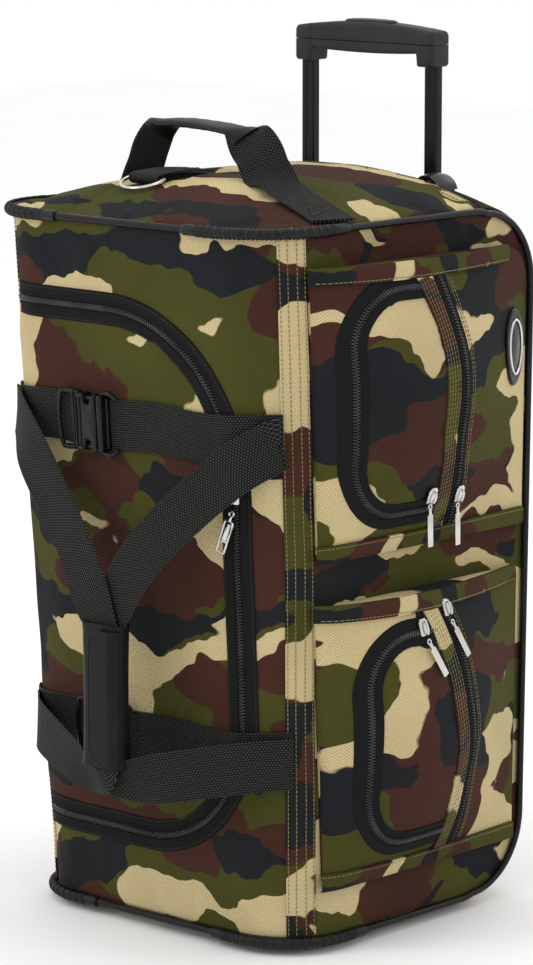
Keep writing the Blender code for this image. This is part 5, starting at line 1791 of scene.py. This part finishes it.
def post_cover():
    """Folded leatherette flap that arches over the handle's channel beside the right-hand post."""
    shape, rows = Shape(), []
    middle_x, base_z, half_w, high = 0.0870, 0.5630, 0.0110, 0.0105
    turns = [math.pi * k / 20 for k in range(21)]
    for i in range(17):
        t = i / 16
        y = between(t, 0.084, 0.107)
        swell = 0.85 + 0.15 * math.sin(math.pi * t)
        ring = []
        for scale in (1.0, 0.70):
            w, h = half_w * scale, high * scale * swell
            arch = [(middle_x + w * math.cos(a), h * math.sin(a)) for a in turns]
            points = [Vector((x, y - 0.10 * h, base_z - 0.19 * (x - middle_x) + h)) for x, h in arch]
            ring += points if scale == 1.0 else points[::-1]
        rows.append(ring)
    shape.skin(rows, closed=True, caps=True)
    put(shape, "post_cover_flap", "gloss_leather", "bag")


def grip_section(x, low, high, corner):
    """Rounded section of the grip across X; its ends draw in to a rounded edge."""
    turn = 0.0028
    beyond = max(0.0, abs(x) - (GRIP_HALF_W - turn))
    inset = turn - math.sqrt(max(0.0, turn ** 2 - beyond ** 2))
    half = GRIP_HALF_D - 0.0010 * eased((0.0565 - abs(x)) / 0.0015) - inset
    upper = corner > 0.003
    top = high - inset if upper else high
    bottom = low if upper else low + inset
    corners = (0.0004, 0.0004, corner, corner) if upper else (corner, corner, 0.0004, 0.0004)
    ring = rectangle((-half, half), (bottom, top), corners, 5, 3)
    return [Vector((x, POST_Y + y, z)) for y, z in ring]


def grip():
    """Arched two-part grip with end blocks over the posts, and its oval release button."""
    split = GRIP_Z + GRIP_SPLIT
    stations = np.linspace(0, 0.052, 14).tolist()
    stations += [0.0540, 0.0548, 0.0553, 0.0558, 0.0566, 0.0600, 0.0650, 0.0687, 0.0697, 0.0706, 0.0712,
                 0.0715]
    stations = [-x for x in reversed(stations[1:])] + stations

    def top(x):
        return GRIP_Z + GRIP_H + GRIP_RISE - 0.0052 * (x / GRIP_HALF_W) ** 2

    def bottom(x):
        belly = 0.0100 - 0.0018 * (1 - (x / 0.056) ** 2)
        return between(eased((abs(x) - 0.0540) / 0.0018), GRIP_Z + belly, GRIP_Z)

    low, high = Shape(), Shape()
    low_rows = [grip_section(x, bottom(x), split - 0.0002, 0.0026) for x in stations]
    high_rows = [grip_section(x, split + 0.0002, top(x), 0.0036) for x in stations]
    low.skin(low_rows, closed=True, caps=True)
    high.skin(high_rows, closed=True, caps=True)
    put(low, "grip_shell_lower", "grip", "handle_inner", "grip_lower", sharp=40)
    put(high, "grip_shell_upper", "grip", "handle_inner", "grip_upper", sharp=40)
    button = Shape()
    rows = []
    crest = GRIP_Z + GRIP_H + GRIP_RISE
    half_w, half_d = 0.0255, 0.0070
    for grow, up in ((-0.001, -0.0090), (0.0, -0.0085), (0.0, 0.0004), (-0.0008, 0.0014), (-0.0025, 0.0020),
                     (-0.0060, 0.0023)):
        w, d = half_w + grow, half_d + grow
        ring = rectangle((-w, w), (-d, d), (d * 0.98,) * 4, 8, 3)
        rows.append([Vector((x, POST_Y + y, crest + up - 0.0008 * (x / half_w) ** 2)) for x, y in ring])
    button.skin(rows, closed=True, caps=True)
    put(button, "release_button", "plastic", "button", "push_button", sharp=40)


# ---------------------------------------------------------------- wheels and base

def wheels():
    for side, sign in (("right", 1), ("left", -1)):
        centre = Vector((sign * WHEEL_X, WHEEL_Y, WHEEL_R))
        wheel(side, centre)
        housing(side, sign * WHEEL_X)


def wheel(side, centre):
    """Tyre with a groove round its middle, a hub with six spokes and a web, and the axle pin."""
    half = WHEEL_W / 2
    tread = mirrored([
        (-half, HUB_R + 0.0006), (-half - 0.0002, HUB_R + 0.004), (-half + 0.0008, WHEEL_R - 0.0045),
        (-half + 0.0032, WHEEL_R - 0.0012), (-half + 0.0070, WHEEL_R), (-0.0030, WHEEL_R),
        (-0.0022, WHEEL_R - 0.0010),
    ])
    tyre = Shape()
    tyre.turned(tread, centre, 64)
    put(tyre, "tyre_tread_" + side, "tyre", "wheel_" + side, "tyre_" + side)
    hub = Shape()
    rim = mirrored([(-half + 0.001, HUB_R - 0.0025), (-half, HUB_R)])
    rim += [(half - 0.0035, HUB_R - 0.0030), (-half + 0.0035, HUB_R - 0.0030)]
    hub.turned(rim, centre, 48)
    hub.turned(mirrored([(-half, AXLE_R + 0.0004), (-half, AXLE_R + 0.0040)]), centre, 32)
    for angle in full_turn(6):
        out = Vector((0, math.cos(angle), math.sin(angle)))
        across = Vector((0, -math.sin(angle), math.cos(angle)))

        def place(x, y, z, out=out, across=across):
            return centre + Vector((x, 0, 0)) + across * y + out * z

        low, high = (-half + 0.0022, -0.0020, AXLE_R + 0.0030), (half - 0.0022, 0.0020, HUB_R - 0.0020)
        hub.block(low, high, 0.0005, place)
    hub.turned(mirrored([(-0.0010, AXLE_R + 0.002), (-0.0010, HUB_R - 0.002)]), centre, 32)
    put(hub, "hub_spokes_" + side, "wheel", "wheel_" + side, "wheel_hub_" + side)
    axle = Shape()
    reach = HOUSING_W / 2 - 0.001
    pin = mirrored([(-reach, 0.0002), (-reach, AXLE_R * 0.8), (-reach + 0.0008, AXLE_R)])
    axle.turned(pin, centre, 24)
    put(axle, "axle_pin_" + side, "steel", "bag", "axle_" + side)


def housing(side, x):
    """Moulded block in the lower back corner: ribbed cheeks, and a crown and a wall round the wheel."""
    shape = Shape()
    centre_y, centre_z, r = BACK_Y - END_R, BOTTOM_Z + END_R, END_R + WALL + 0.0012
    half = HOUSING_W / 2
    inner = WHEEL_W / 2 + 0.0015
    section = [(0.077, 0.076), (0.077, centre_z - r + 0.0004)]
    for k in range(15):
        turn = math.pi / 2 * k / 14
        section.append((centre_y + 0.0006 + r * math.sin(turn), centre_z - r * math.cos(turn)))
    section.append((section[-1][0], 0.076))
    for near, far in ((-half, -inner), (inner, half)):
        rows = []
        for end, inset in ((near, 0.02), (near + 0.0012, 0.0), (far - 0.0012, 0.0), (far, 0.02)):
            rows.append([Vector((x + end, between(inset, y, 0.108), between(inset, z, 0.045)))
                         for y, z in section])
        shape.skin(rows, closed=True, caps=True)
    left, right, back = x - inner - 0.001, x + inner + 0.001, section[-1][0] - 0.0004
    shape.block((left, 0.0775, 0.0600), (right, back, 0.0760), 0.0015, segments=3)
    shape.block((left, 0.0772, 0.0120), (right, 0.0868, 0.0660), 0.0010)
    for k in range(3):
        z = 0.0300 + 0.0105 * k
        for sign in (-1, 1):
            rib_x = x + sign * (half - 0.0003)
            shape.block((rib_x - 0.0008, 0.094, z), (rib_x + 0.0008, 0.128, z + 0.0030), 0.0006)
    put(shape, "wheel_housing_" + side, "plastic", "bag", "wheel_housing_" + side)


def base():
    """Bar under the front edge, with three pads and two studs."""
    low, high = (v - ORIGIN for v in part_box("stand_bar"))
    shape = Shape()
    shape.block((low.x, low.y + 0.001, 0.0030), (high.x, high.y - 0.001, high.z), 0.0015, segments=3)
    pad, stud = 0.014, 0.045
    for x in (low.x + pad, 0.0, high.x - pad):
        shape.block((x - pad, low.y, 0.0), (x + pad, high.y, 0.0060), 0.0020, segments=3)
    for x in (low.x + stud, high.x - stud):
        shape.wire([(x, STAND_Y, 0.0020), (x, STAND_Y, 0.0034)], lambda i: 0.0032 - 0.0006 * (1 - i), 12)
    put(shape, "stand_feet", "plastic", "bag", "stand_bar")


def inside():
    """Lining over the backboard, seen when the lid is open."""
    low, high = (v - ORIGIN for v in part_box("backboard"))
    margin = 0.0035
    across = spread(low.x - margin, high.x + margin, 40)
    domain = [[(x, z) for x in across] for z in spread(low.z - margin, high.z + margin, 60)]

    def face(x, z, off):
        edge = min(x - domain[0][0][0], domain[0][-1][0] - x, z - domain[0][0][1], domain[-1][0][1] - z)
        puff = 0.0045 * eased(edge / 0.03)
        uneven = rumple(x, z, 0.0035, 30.0) * eased(edge / 0.02)
        return Vector((x, low.y - 0.0010 - off - puff - uneven, z))

    shape = Shape()
    shape.skin([[face(x, z, 0.0) for x, z in row] for row in domain], cloth_rows(domain, (0, 0)))
    item = shape.make("back_lining", MATERIALS["lining"])
    thicken(item, 0.0008, lining=False)
    dress(item, "bag", "zip_tape")


CAD_FINISHES = {
    "outer_tube": "tube", "base_bracket": "plastic", "handle_collars": "plastic", "button_spring": "steel",
    "backboard": "board",
}


def finish_solids():
    """The solids that stay showing get the same finishes."""
    for name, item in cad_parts.items():
        for start, finish in CAD_FINISHES.items():
            if name.startswith(start):
                item.data.materials.clear()
                item.data.materials.append(MATERIALS[finish])


# ---------------------------------------------------------------- studio

def studio():
    """Pale floor, white surroundings and four soft round lamps."""
    floor = bpy.data.meshes.new("floor")
    wide = 6.0
    corners = [(-wide, -wide, 0), (wide, -wide, 0), (wide, wide, 0), (-wide, wide, 0)]
    floor.from_pydata(corners, [], [(0, 1, 2, 3)])
    item = bpy.data.objects.new("floor", floor)
    bpy.context.scene.collection.objects.link(item)
    paper = Finish("floor_paper", 0.9)
    tone = paper.noise(paper.place(), 3.0)
    paper.colour(paper.mix(tone, linear(250, 250, 250), linear(254, 254, 254)))
    floor.materials.append(paper.material)
    world = bpy.data.worlds.new("studio")
    bpy.context.scene.world = world
    world.use_nodes = True
    background = world.node_tree.nodes["Background"]
    background.inputs["Color"].default_value = (1, 1, 1, 1)
    background.inputs["Strength"].default_value = 1.0
    target = Vector((0, 0, 0.30))
    for name, place, size, power in (
        ("key", (-1.3, -2.4, 2.2), 1.2, 20),
        ("side", (2.6, -0.5, 1.6), 1.2, 4),
        ("top", (0.2, 0.3, 2.6), 1.4, 6),
        ("back", (0.4, 2.4, 1.6), 1.4, 6),
    ):
        lamp = bpy.data.lights.new(name, "AREA")
        lamp.shape = "DISK"
        lamp.size = size
        lamp.energy = power
        light = bpy.data.objects.new(name, lamp)
        light.location = place
        light.rotation_euler = (target - Vector(place)).to_track_quat("-Z", "Y").to_euler()
        bpy.context.scene.collection.objects.link(light)
    bpy.context.scene.view_settings.view_transform = "Standard"


CAMERA_PLACE, CAMERA_TARGET = Vector((2.128, -2.334, 0.889)), Vector((-0.0046, 0, 0.3318))
LENS = 153.2                            # millimetres


def camera():
    """From in front of the lid and the pockets, a little above."""
    data = bpy.data.cameras.new("camera")
    data.lens = LENS
    item = bpy.data.objects.new("camera", data)
    item.location = CAMERA_PLACE + ORIGIN
    target = CAMERA_TARGET + ORIGIN
    item.rotation_euler = (target - item.location).to_track_quat("-Z", "Y").to_euler()
    bpy.context.scene.collection.objects.link(item)
    bpy.context.scene.camera = item


def main():
    camera()
    studio()
    front_panel()
    lid_pieces()
    side_panels()
    seam_strips()
    top_panel()
    back_panel()
    bottom_panel()
    trim()
    pockets()
    pullers()
    straps()
    carry_handles()
    top_handle()
    d_ring()
    trolley()
    wheels()
    base()
    inside()
    finish_solids()


main()
